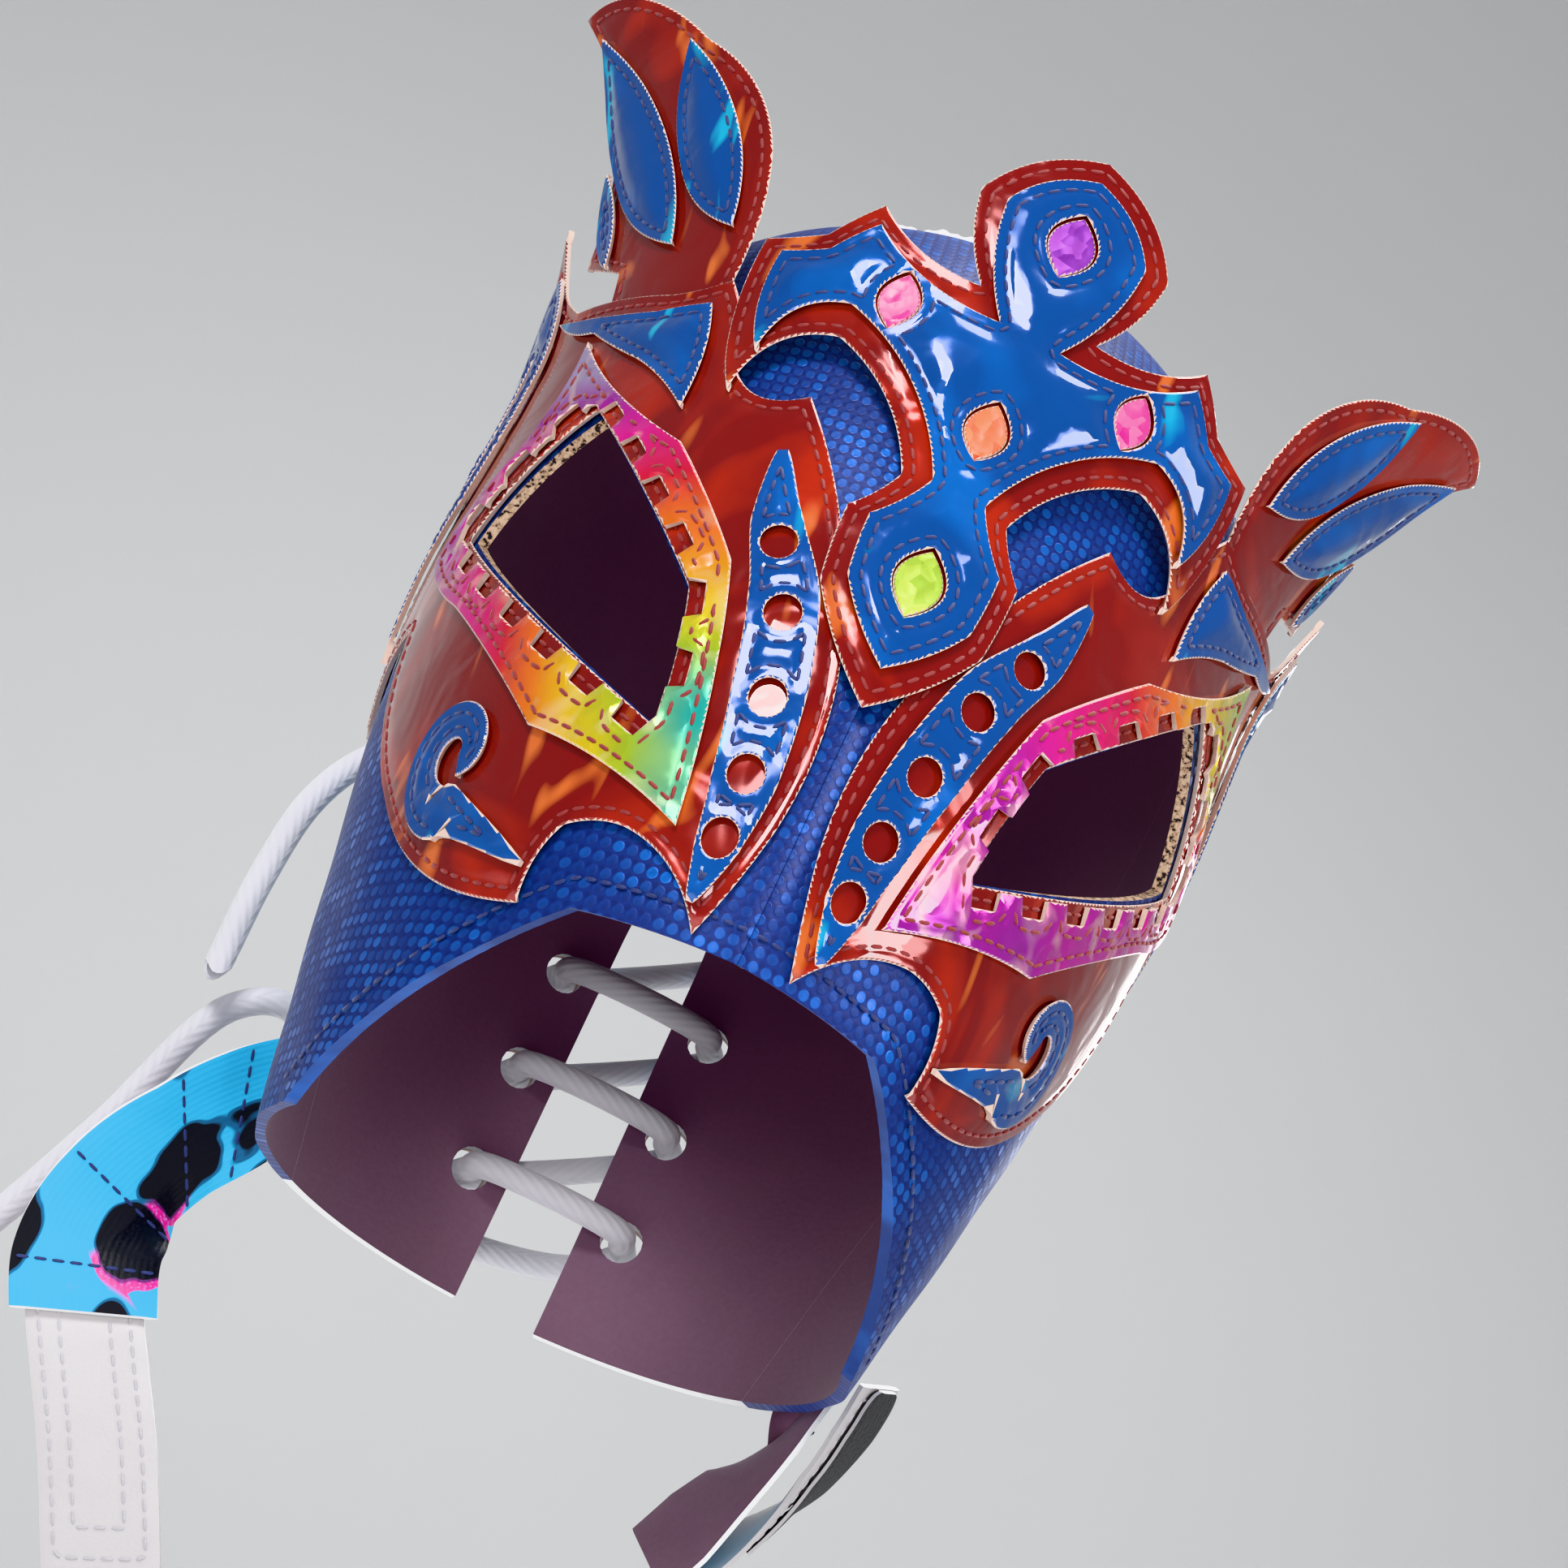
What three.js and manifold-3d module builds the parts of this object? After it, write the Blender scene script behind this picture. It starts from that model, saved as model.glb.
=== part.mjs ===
// Wrestling mask of stretch cloth and stitched vinyl plates, held open as a head fills it.
// Millimetres, +Z up, the face looks along -Y, and the origin is where the crown of the head
// touches the inside of the hood. Left and right are as seen from the front.
import * as THREE from "three";
import { mergeVertices } from "three/addons/utils/BufferGeometryUtils.js";
import Module from "manifold-3d";

const wasm = await Module();
wasm.setup();

// Driving dimensions

const head = { height: 223, halfWidth: 75, faceDepth: 98.5, napeDepth: 100 };
const wrapRadius = 85; // flat patterns are laid round the head on this radius
const cloth = { wall: 2, seamGap: 0.4, hem: 207 }; // hem: drop of the lower edge below the crown
const vinyl = { sheet: 1.1, gap: 0.45, foil: 0.6, clearance: 0.5 };
const crownSeam = { front: 32, rear: 38, reach: 180 };
const welt = { tall: 6, thick: 1.8, half: 36, lift: 0.6, taper: 0.75 };
const mouth = { drop: 171, corner: 35, jawDrop: 207, jaw: 101 };
const eye = { inner: 33, wide: 64, top: 82.5, tall: 59.5 };
const band = { tooth: 3.2, teeth: 15, root: 0.8 };
const plate = { wide: 141, top: 40, tall: 135 };
// Sizes of the crest and of the temple leaves are shares of the plate round the eye.
const crest = { wide: 0.369, rise: 30, tall: 0.874, border: 4.2, window: 14, windowBow: 0.32 };
const horn = { root: 57, wide: 54, top: -10, tall: 72 };
const cheek = { across: 71, below: 10, radius: 15.5, strip: 9.4, turns: 0.95, start: 108, tail: 24 };
const nose = { strip: 13, window: 3.3, windows: 5, first: 0.22, run: 0.58 };
const temple = { root: 0.738, wide: 0.199, top: 0.015, tall: 0.578 };
const sideStrip = { width: 9, top: 146, bottom: 205 };
const opening = { start: 48, end: 118, half: 9 }; // laced slit down the back of the head
const facing = { width: 15, top: 64, bottom: 196, edge: 1.5, lift: 0.9 };
const eyelet = { radius: 4.6, rows: 5, first: 82, pitch: 25 };
const lace = { diameter: 5.6, clear: 0.6, heldSpan: 1.6, freeSpan: 2.5 };
const strap = { width: 26, thick: 1.8, drop: 193.5 }; // drop: where its root meets the hood
const tab = { width: 21, thick: 1.6, clear: 0.3, rounding: 0.15, end: 0.55 };
const hook = { width: 15, thick: 1.2, clear: 0.45 };

const longestEdge = 14.5; // of a wrapped plate's triangles, so that flat faces follow the head
const arcStep = 11; // along bowed sides
const panelGrid = { rows: 14, crownRows: 2, front: 9, back: 9 };
const roundSides = 8;
const probe = { turn: 0.01, drop: 0.4 }; // steps that find a form's normal

// Tables. Each row of a table is a section or a corner, with the columns that its first line
// names, and its lengths are shares of the sizes above.

function table(columns, ...rows) {
  const names = columns.split(" ");
  return rows.map((row) => Object.fromEntries(names.map((name, i) => [name, row[i]])));
}

const headSections = table(
  "drop side face nape",
  [0, 0, 0, 0],
  [0.009, 0.267, 0.244, 0.28],
  [0.04, 0.533, 0.487, 0.54],
  [0.099, 0.76, 0.67, 0.74],
  [0.188, 0.92, 0.812, 0.9],
  [0.305, 0.987, 0.89, 0.98],
  [0.44, 1, 0.955, 1],
  [0.574, 0.965, 1, 0.96],
  [0.709, 0.89, 1, 0.88],
  [0.843, 0.81, 0.914, 0.8],
  [1, 0.71, 0.69, 0.74],
);

// Stiff plates do not bend over the crown: above the brow they stand up and flare out.
const standingSections = table(
  "drop side face nape",
  [-0.09, 1.47, 0.86, 1.1],
  [0.04, 1.22, 0.872, 1.05],
  [0.19, 1.055, 0.888, 1],
  [0.305, 1.004, 0.905, 0.99],
  [0.39, 1.002, 0.935, 1],
  [0.44, 1, 0.955, 1],
  [0.574, 0.965, 1, 0.96],
  [0.709, 0.89, 1, 0.88],
  [0.843, 0.81, 0.914, 0.8],
  [1, 0.71, 0.69, 0.74],
);

// A smooth curve through one column of a table that never overshoots its rows.
function columnCurve(rows, key, size) {
  const at = rows.map((row) => row.drop * head.height);
  const value = rows.map((row) => row[key] * size);
  const slope = at.slice(1).map((x, i) => (value[i + 1] - value[i]) / (x - at[i]));
  const tangent = at.map((x, i) => {
    if (i === 0) return slope[0];
    if (i === at.length - 1) return slope[i - 1];
    return slope[i - 1] * slope[i] > 0
      ? (2 * slope[i - 1] * slope[i]) / (slope[i - 1] + slope[i])
      : 0;
  });
  return (x) => {
    let i = 0;
    while (i < at.length - 2 && x > at[i + 1]) i += 1;
    const step = at[i + 1] - at[i];
    const s = THREE.MathUtils.clamp((x - at[i]) / step, 0, 1);
    const rise = s * s * (3 - 2 * s);
    return (
      value[i] * (1 - rise) +
      value[i + 1] * rise +
      step * (tangent[i] * s * (1 - s) ** 2 - tangent[i + 1] * s * s * (1 - s))
    );
  };
}

function makeForm(rows) {
  return {
    side: columnCurve(rows, "side", head.halfWidth),
    face: columnCurve(rows, "face", head.faceDepth),
    nape: columnCurve(rows, "nape", head.napeDepth),
  };
}
const headForm = makeForm(headSections);
const standingForm = makeForm(standingSections);

// A point of a form at a turn round the head (radians, 0 at the nose) and a drop below the crown.
function formPoint(form, turn, drop) {
  const depth = Math.cos(turn) > 0 ? form.face(drop) : form.nape(drop);
  return new THREE.Vector3(form.side(drop) * Math.sin(turn), -depth * Math.cos(turn), -drop);
}

// The same point moved out along the form's normal.
function onForm(form, turn, drop, out) {
  const normal = new THREE.Vector3(0, 0, 1);
  if (drop > probe.drop || form === standingForm) {
    const at = (turnStep, dropStep) => formPoint(form, turn + turnStep, drop + dropStep);
    const round = at(probe.turn, 0).sub(at(-probe.turn, 0));
    const down = at(0, probe.drop).sub(at(0, -probe.drop));
    normal.crossVectors(down, round).normalize();
  }
  return formPoint(form, turn, drop).addScaledVector(normal, out);
}

// Closed bodies from points and faces

function closedGeometry(points, faces) {
  const flat = new Float32Array(points.flatMap((p) => [p.x, p.y, p.z]));
  const raw = new THREE.BufferGeometry();
  raw.setAttribute("position", new THREE.BufferAttribute(flat, 3));
  raw.setIndex(faces.flat());
  const merged = mergeVertices(raw, 1e-3);
  const index = [];
  for (let i = 0; i < merged.index.count; i += 3) {
    const [a, b, c] = [0, 1, 2].map((k) => merged.index.getX(i + k));
    if (a !== b && b !== c && c !== a) index.push(a, b, c);
  }
  merged.setIndex(index);
  return facingOut(merged);
}

// A surface laid by a place that runs the other way round comes out inside out, and is turned.
function facingOut(geometry) {
  const at = (i) => new THREE.Vector3().fromBufferAttribute(geometry.attributes.position, i);
  const index = Array.from(geometry.index.array);
  let volume = 0;
  for (let i = 0; i < index.length; i += 3) {
    const [a, b, c] = [0, 1, 2].map((k) => at(index[i + k]));
    volume += a.dot(b.cross(c));
  }
  if (volume > 0) return geometry;
  for (let i = 0; i < index.length; i += 3) {
    [index[i + 1], index[i + 2]] = [index[i + 2], index[i + 1]];
  }
  geometry.setIndex(index);
  return geometry;
}

function mirrored(geometry) {
  const copy = geometry.clone().scale(-1, 1, 1);
  const index = [];
  for (let i = 0; i < copy.index.count; i += 3) {
    index.push(copy.index.getX(i), copy.index.getX(i + 2), copy.index.getX(i + 1));
  }
  copy.setIndex(index);
  return copy;
}

function toSolid(geometry) {
  return new wasm.Manifold(
    new wasm.Mesh({
      numProp: 3,
      vertProperties: new Float32Array(geometry.attributes.position.array),
      triVerts: new Uint32Array(geometry.index.array),
    }),
  );
}

function fromSolid(solid) {
  const mesh = solid.getMesh();
  const geometry = new THREE.BufferGeometry();
  geometry.setAttribute("position", new THREE.BufferAttribute(mesh.vertProperties, 3));
  geometry.setIndex(Array.from(mesh.triVerts));
  return geometry;
}

function cutAway(geometry, ...cutters) {
  return fromSolid(cutters.reduce((left, cutter) => left.subtract(toSolid(cutter)), toSolid(geometry)));
}

// A wall laid on a grid: place(i, j, side) gives its outer (1) and inner (0) skin.
function gridWall(columns, rows, place) {
  const points = [];
  const faces = [];
  const spot = (i, j, side) => (side * (columns + 1) + i) * (rows + 1) + j;
  for (const side of [0, 1]) {
    for (let i = 0; i <= columns; i += 1) {
      for (let j = 0; j <= rows; j += 1) points.push(place(i / columns, j / rows, side));
    }
  }
  const quad = (a, b, c, d) => faces.push([a, b, c], [a, c, d]);
  for (let i = 0; i < columns; i += 1) {
    for (let j = 0; j < rows; j += 1) {
      quad(spot(i, j, 1), spot(i, j + 1, 1), spot(i + 1, j + 1, 1), spot(i + 1, j, 1));
      quad(spot(i, j, 0), spot(i + 1, j, 0), spot(i + 1, j + 1, 0), spot(i, j + 1, 0));
    }
    quad(spot(i, 0, 1), spot(i + 1, 0, 1), spot(i + 1, 0, 0), spot(i, 0, 0));
    quad(spot(i, rows, 0), spot(i + 1, rows, 0), spot(i + 1, rows, 1), spot(i, rows, 1));
  }
  for (let j = 0; j < rows; j += 1) {
    quad(spot(0, j, 0), spot(0, j + 1, 0), spot(0, j + 1, 1), spot(0, j, 1));
    quad(spot(columns, j, 1), spot(columns, j + 1, 1), spot(columns, j + 1, 0), spot(columns, j, 0));
  }
  return closedGeometry(points, faces);
}

// Flat patterns: loops of flat points, cut into small triangles and laid on a surface

const flat = (x, y) => new THREE.Vector2(x, y);

function outwardSign(loop) {
  return THREE.ShapeUtils.area(loop) > 0 ? 1 : -1;
}

// A closed outline from its corners. Each side bows out by a share of its length.
function bowedLoop(corners) {
  const ends = corners.map((corner) => flat(corner.across, corner.down));
  const sign = outwardSign(ends);
  return ends.flatMap((from, i) => {
    const to = ends[(i + 1) % ends.length];
    const side = to.clone().sub(from);
    const out = flat(side.y, -side.x).multiplyScalar(sign * 4 * corners[i].bow);
    const steps = corners[i].bow ? Math.max(2, Math.ceil(side.length() / arcStep)) : 1;
    return Array.from({ length: steps }, (_, k) => {
      const s = k / steps;
      return from.clone().addScaledVector(side, s).addScaledVector(out, s * (1 - s));
    });
  });
}

// Corners given as shares of a box of the flat pattern.
function framed(rows, box) {
  return rows.map((row) => ({
    across: box.left + row.across * box.wide,
    down: box.top + row.down * box.tall,
    bow: row.bow,
  }));
}

function roundLoop(centre, radius) {
  return Array.from({ length: roundSides }, (_, k) => {
    const angle = (2 * Math.PI * (k + 0.5)) / roundSides;
    return flat(centre.x + radius * Math.cos(angle), centre.y + radius * Math.sin(angle));
  });
}

// A strip of changing width on both sides of a flat curve.
function stripLoop(curve, steps, halfWidth) {
  const left = [];
  const right = [];
  for (let k = 0; k <= steps; k += 1) {
    const point = curve.getPoint(k / steps);
    const along = curve.getTangent(k / steps);
    const half = halfWidth(k / steps);
    left.push(flat(point.x - along.y * half, point.y + along.x * half));
    if (half > 0.05) right.unshift(flat(point.x + along.y * half, point.y - along.x * half));
  }
  return [...left, ...right];
}

// The same loop pulled in by a distance, corner by corner.
function insetLoop(loop, distance) {
  const sign = outwardSign(loop);
  const count = loop.length;
  return loop.map((point, i) => {
    const before = point.clone().sub(loop[(i + count - 1) % count]).normalize();
    const after = loop[(i + 1) % count].clone().sub(point).normalize();
    const bisector = flat(-(before.y + after.y), before.x + after.x).normalize();
    const slant = Math.max(0.5, bisector.dot(flat(-before.y, before.x)));
    return point.clone().addScaledVector(bisector, (sign * distance) / slant);
  });
}

const edgeKey = (a, b) => (a < b ? a * 100000 + b : b * 100000 + a);

// The faces at each edge, each with the place of the edge in it.
function edgeOwners(faces) {
  const owners = new Map();
  faces.forEach((face, f) =>
    face.forEach((a, k) => {
      const key = edgeKey(a, face[(k + 1) % 3]);
      if (!owners.has(key)) owners.set(key, []);
      owners.get(key).push([f, k]);
    }),
  );
  return owners;
}

// Edges that make thin triangles are turned to the other diagonal of their two triangles.
function flipThin(points, faces, rims) {
  for (let pass = 0; pass < 12; pass += 1) {
    const touched = new Set();
    let flips = 0;
    for (const [key, pair] of edgeOwners(faces)) {
      if (pair.length !== 2 || rims.has(key)) continue;
      const [[f, k], [g, m]] = pair;
      if (touched.has(f) || touched.has(g)) continue;
      const [a, b, c] = [0, 1, 2].map((n) => faces[f][(k + n) % 3]);
      const d = faces[g][(m + 2) % 3];
      const angle = (tip) => {
        const toA = points[a].clone().sub(points[tip]);
        const toB = points[b].clone().sub(points[tip]);
        return Math.acos(THREE.MathUtils.clamp(toA.dot(toB) / (toA.length() * toB.length()), -1, 1));
      };
      const turns = (p, q, r) => points[q].clone().sub(points[p]).cross(points[r].clone().sub(points[p]));
      if (angle(c) + angle(d) < Math.PI + 1e-6) continue;
      if (turns(d, b, c) < 1e-6 || turns(d, c, a) < 1e-6) continue;
      faces[f] = [d, b, c];
      faces[g] = [d, c, a];
      touched.add(f).add(g);
      flips += 1;
    }
    if (!flips) return;
  }
}

// Flat triangles of a loop with holes. The longest edges are halved first, until none is
// longer than the limit.
function flatTriangles(outline, holes, longest) {
  const loop = outwardSign(outline) > 0 ? outline : [...outline].reverse();
  const inner = holes.map((hole) => (outwardSign(hole) < 0 ? hole : [...hole].reverse()));
  const points = [loop, ...inner].flat();
  const faces = THREE.ShapeUtils.triangulateShape(loop, inner);
  const rims = new Set();
  let start = 0;
  for (const ring of [loop, ...inner]) {
    for (let k = 0; k < ring.length; k += 1) rims.add(edgeKey(start + k, start + ((k + 1) % ring.length)));
    start += ring.length;
  }
  for (let round = 0; round < 60; round += 1) {
    flipThin(points, faces, rims);
    const long = [];
    for (const [key, owners] of edgeOwners(faces)) {
      const [f, k] = owners[0];
      const [a, b] = [faces[f][k], faces[f][(k + 1) % 3]];
      const length = points[a].distanceTo(points[b]);
      if (length > longest) long.push({ key, owners, a, b, length });
    }
    if (!long.length) break;
    const touched = new Set();
    for (const { key, owners, a, b } of long.sort((p, q) => q.length - p.length)) {
      if (owners.some(([f]) => touched.has(f))) continue;
      const middle = points.push(points[a].clone().lerp(points[b], 0.5)) - 1;
      for (const [f, k] of owners) {
        const [p, q, r] = [0, 1, 2].map((n) => faces[f][(k + n) % 3]);
        faces[f] = [p, middle, r];
        touched.add(f).add(faces.push([middle, q, r]) - 1);
      }
      if (rims.has(key)) rims.add(edgeKey(a, middle)).add(edgeKey(middle, b));
    }
  }
  return { points, faces };
}

// A sheet of a flat pattern, laid by place(point, out) between two heights above the surface.
function laidSheet({ outline, holes = [], place, low, high, longest = longestEdge }) {
  const pattern = flatTriangles(outline, holes, longest);
  const count = pattern.points.length;
  const points = [...pattern.points.map((p) => place(p, high)), ...pattern.points.map((p) => place(p, low))];
  const faces = [];
  const open = new Map();
  for (const [a, b, c] of pattern.faces) {
    faces.push([a, c, b], [a + count, b + count, c + count]);
    for (const [p, q] of [[a, b], [b, c], [c, a]]) {
      if (!open.delete(`${q} ${p}`)) open.set(`${p} ${q}`, [p, q]);
    }
  }
  for (const [p, q] of open.values()) faces.push([p, q, q + count], [p, q + count, p + count]);
  return closedGeometry(points, faces);
}

const onHead = (p, out) => onForm(headForm, p.x / wrapRadius, p.y, out);
const onStanding = (p, out) => onForm(standingForm, p.x / wrapRadius, p.y, out);

// Heights of the layers above the cloth: the base plates, then what is stitched on them.
const baseLayer = { low: vinyl.gap, high: vinyl.gap + vinyl.sheet };
const topLayer = { low: baseLayer.high + vinyl.gap, high: baseLayer.high + vinyl.gap + vinyl.sheet };

// Hood: two blue front panels that meet on the nose, and two printed back panels behind the
// seam that runs over the crown from ear to ear.

function seamDepth(drop) {
  const share = Math.min(1, drop / crownSeam.reach);
  return -crownSeam.front + (crownSeam.front + crownSeam.rear) * Math.sin((share * Math.PI) / 2);
}

function seamTurn(drop, shift) {
  const y = seamDepth(drop) + shift;
  const depth = y < 0 ? headForm.face(drop) : headForm.nape(drop);
  return Math.acos(THREE.MathUtils.clamp(-y / depth, -1, 1));
}

// Where the crown seam crosses the nose line.
function seamStart(shift) {
  let low = 0;
  let high = crownSeam.front;
  for (let k = 0; k < 40; k += 1) {
    const middle = (low + high) / 2;
    if (headForm.face(middle) < -(seamDepth(middle) + shift)) low = middle;
    else high = middle;
  }
  return (low + high) / 2;
}

// Points evenly spaced along the crown seam, from the nose line to the hem.
function seamPoints(count, shift) {
  const first = seamStart(shift);
  const fine = 400;
  const walk = Array.from({ length: fine + 1 }, (_, k) => {
    const drop = first + (cloth.hem - first) * (k / fine) ** 2;
    return { turn: k ? seamTurn(drop, shift) : 0, drop };
  });
  const lengths = [0];
  for (let k = 1; k <= fine; k += 1) {
    const from = formPoint(headForm, walk[k - 1].turn, walk[k - 1].drop);
    const to = formPoint(headForm, walk[k].turn, walk[k].drop);
    lengths.push(lengths[k - 1] + from.distanceTo(to));
  }
  return Array.from({ length: count + 1 }, (_, i) => {
    const aim = (lengths[fine] * i) / count;
    return walk[Math.min(fine, lengths.findIndex((length) => length >= aim - 1e-6))];
  });
}

// Each row of a panel's grid starts or ends at a point of the seam.
const frontSeam = seamPoints(panelGrid.rows, -cloth.seamGap / 2);
const rearSeam = seamPoints(panelGrid.rows, cloth.seamGap / 2);

function clothPoint(turn, drop, side) {
  const point = onForm(headForm, turn, drop, (side - 1) * cloth.wall);
  point.x = Math.max(point.x, cloth.seamGap / 2);
  return point;
}

function frontPanel() {
  return gridWall(panelGrid.front, panelGrid.rows, (across, along, side) => {
    const { turn, drop } = frontSeam[Math.round(along * panelGrid.rows)];
    return clothPoint(turn * across, drop, side);
  });
}

const eyeCorners = table(
  "across down bow",
  [0, 1, 0.03],
  [0.07, 0.6, 0.02],
  [0.66, 0, 0.05],
  [1, 0.4, 0.03],
);
const eyeBox = { left: eye.inner, wide: eye.wide, top: eye.top, tall: eye.tall };
const eyeLoop = bowedLoop(framed(eyeCorners, eyeBox));

function mouthLoop() {
  const past = cloth.hem * 1.2;
  return [
    flat(-mouth.corner, mouth.drop),
    flat(mouth.corner, mouth.drop + cloth.wall),
    flat(mouth.jaw, mouth.jawDrop),
    flat(mouth.jaw, past),
    flat(-mouth.corner, past),
  ];
}

const throughCloth = { low: -4 * cloth.wall, high: 3 * cloth.wall };

function hoodFront() {
  const eyeCut = laidSheet({ outline: eyeLoop, place: onHead, ...throughCloth });
  const mouthCut = laidSheet({ outline: mouthLoop(), place: onHead, ...throughCloth });
  return cutAway(frontPanel(), eyeCut, mouthCut);
}

// Half the width of the laced slit at a drop, as a turn.
function slitTurn(drop) {
  const share = THREE.MathUtils.smoothstep(drop, opening.start, opening.end);
  const half = cloth.seamGap / 2 + opening.half * share;
  return half / Math.max(headForm.side(drop), 4 * half);
}

// The first rows run round the crown, and the others from the seam to the slit.
function backPanel() {
  const { rows, crownRows, back } = panelGrid;
  return gridWall(back, rows + crownRows, (across, along, side) => {
    const row = Math.round(along * (rows + crownRows)) - crownRows;
    const seam = rearSeam[Math.max(0, row)];
    const drop = seam.drop * Math.min(1, 1 + row / crownRows) ** 2;
    const start = row < 0 ? 0 : seam.turn;
    return clothPoint(start + (Math.PI - slitTurn(drop) - start) * across, drop, side);
  });
}

// The facing lies along the slit: x runs away from the slit's edge.
const alongSlit = (p, out) => {
  const radius = Math.max(headForm.side(p.y), facing.width);
  return onForm(headForm, Math.PI - slitTurn(p.y) - p.x / radius, p.y, out);
};

const eyeletSpots = Array.from({ length: eyelet.rows }, (_, k) =>
  flat(facing.edge + facing.width / 2, eyelet.first + k * eyelet.pitch),
);
const eyeletLoops = eyeletSpots.map((spot) => roundLoop(spot, eyelet.radius));

function eyeletFacing() {
  const outline = bowedLoop(
    table(
      "across down bow",
      [facing.edge, facing.top, 0],
      [facing.edge + facing.width, facing.top, 0],
      [facing.edge + facing.width, facing.bottom, 0],
      [facing.edge, facing.bottom, 0],
    ),
  );
  const layer = { low: facing.lift, high: facing.lift + vinyl.sheet };
  return laidSheet({ outline, holes: eyeletLoops, place: alongSlit, ...layer, longest: 20 });
}

function hoodBack() {
  const cutters = eyeletLoops.map((outline) => laidSheet({ outline, place: alongSlit, ...throughCloth }));
  return cutAway(backPanel(), ...cutters);
}

// The raw seam allowance of the crown seam stands up as a white welt.
function crownWelt() {
  return gridWall(14, 1, (across, along, side) => {
    const x = welt.half * (2 * across - 1);
    const taper = 1 - welt.taper * Math.abs(2 * across - 1) ** 3;
    const drop = weltDrop(Math.abs(x));
    const y = seamDepth(drop) + (side - 0.5) * welt.thick;
    return new THREE.Vector3(x, y, welt.lift - drop + (1 - along) * welt.tall * taper);
  });
}

// The drop of the crown seam at a distance beside the nose line.
function weltDrop(x) {
  const walk = frontSeam.map(({ turn, drop }) => formPoint(headForm, turn, drop));
  const k = Math.max(1, walk.findIndex((point) => point.x >= x));
  const share = (x - walk[k - 1].x) / (walk[k].x - walk[k - 1].x);
  return -THREE.MathUtils.lerp(walk[k - 1].z, walk[k].z, share);
}

// Plates round the eye

const eyePlateCorners = table(
  "across down bow",
  [0.225, 0.262, 0.05], // flame tip over the brow
  [0.045, 0.61, 0.06], // nose side
  [0.032, 0.83, 0.03],
  [0.075, 0.97, -0.1], // lower tip beside the nose
  [0.22, 0.885, -0.06],
  [0.3, 0.9, -0.12],
  [0.325, 0.995, 0.12], // cheek tip
  [0.66, 0.87, 0.1],
  [0.79, 0.6, -0.06],
  [1.02, 0.67, -0.05], // rear tip under the temple
  [0.93, 0.5, -0.08],
  [1, 0.42, -0.03], // rear tooth
  [0.86, 0.24, 0.04],
  [0.845, -0.09, -0.12], // spike beside the horn
  [0.71, 0.1, 0],
  [0.5, 0.12, -0.05],
  [0.405, 0.1, 0.06],
  [0.345, 0.235, -0.24], // hook over the brow
);

const plateBox = { left: 0, wide: plate.wide, top: plate.top, tall: plate.tall };
const eyePlateLoop = bowedLoop(framed(eyePlateCorners, plateBox));

function eyePlate() {
  const hole = insetLoop(eyeLoop, -0.4);
  return laidSheet({ outline: eyePlateLoop, holes: [hole], place: onStanding, ...baseLayer });
}

// Rainbow band: its inner edge has square teeth that stand over the red plate.
const bandCorners = table(
  "across down bow",
  [-0.185, 1.26, 0.03], // lower tip beside the nose
  [-0.03, 0.5, 0.02],
  [0.27, 0.14, -0.05],
  [0.86, -0.3, -0.1], // upper tip under the brow flame
  [0.93, 0.12, 0.05],
  [1.15, 0.46, 0.05],
  [0.87, 0.68, -0.02],
  [0.36, 1.08, -0.03],
);

function alongLoop(loop, share) {
  const lengths = loop.map((point, i) => point.distanceTo(loop[(i + 1) % loop.length]));
  let left = share * lengths.reduce((sum, length) => sum + length, 0);
  for (let i = 0; i < loop.length; i += 1) {
    if (left <= lengths[i] || i === loop.length - 1) {
      const to = loop[(i + 1) % loop.length];
      const along = to.clone().sub(loop[i]).normalize();
      return { point: loop[i].clone().addScaledVector(along, left), along };
    }
    left -= lengths[i];
  }
  return null;
}

// A loop round another, set out by near and far in turns. Its steps are nearly square.
function toothedLoop(loop, teeth, near, far) {
  const sign = outwardSign(loop);
  const lifted = (share, distance) => {
    const { point, along } = alongLoop(loop, share);
    return point.addScaledVector(flat(along.y, -along.x), sign * distance);
  };
  return Array.from({ length: teeth }, (_, k) => {
    const [rise, root, step, end] = [0.04, 0.46, 0.5, 0.96].map((part) => (k + part) / teeth);
    return [lifted(rise, near), lifted(root, near), lifted(step, far), lifted(end, far)];
  }).flat();
}

const bandLoop = bowedLoop(framed(bandCorners, eyeBox));
const bandHole = toothedLoop(eyeLoop, band.teeth, band.root, band.root + band.tooth);

function eyeBand() {
  return laidSheet({ outline: bandLoop, holes: [bandHole], place: onStanding, ...topLayer });
}

// Blue strip between the nose edge of the red plate and the band, with round windows.
const noseRows = table(
  "across down half",
  [0.222, 0.36, 0.15],
  [0.19, 0.46, 0.7],
  [0.142, 0.56, 0.95],
  [0.11, 0.68, 1],
  [0.094, 0.79, 0.9],
  [0.092, 0.88, 0.6],
  [0.094, 0.94, 0.1],
);

const noseCurve = new THREE.SplineCurve(
  noseRows.map((row) => flat(row.across * plate.wide, plate.top + row.down * plate.tall)),
);

function noseStrip() {
  const widths = noseRows.map((row) => (row.half * nose.strip) / 2);
  const outline = stripLoop(noseCurve, 14, (share) => {
    const at = share * (widths.length - 1);
    const k = Math.min(widths.length - 2, Math.floor(at));
    return THREE.MathUtils.lerp(widths[k], widths[k + 1], at - k);
  });
  const holes = Array.from({ length: nose.windows }, (_, k) => {
    const centre = noseCurve.getPoint(nose.first + (nose.run * k) / (nose.windows - 1));
    return roundLoop(centre, nose.window);
  });
  return laidSheet({ outline, holes, place: onStanding, ...topLayer });
}

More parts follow.
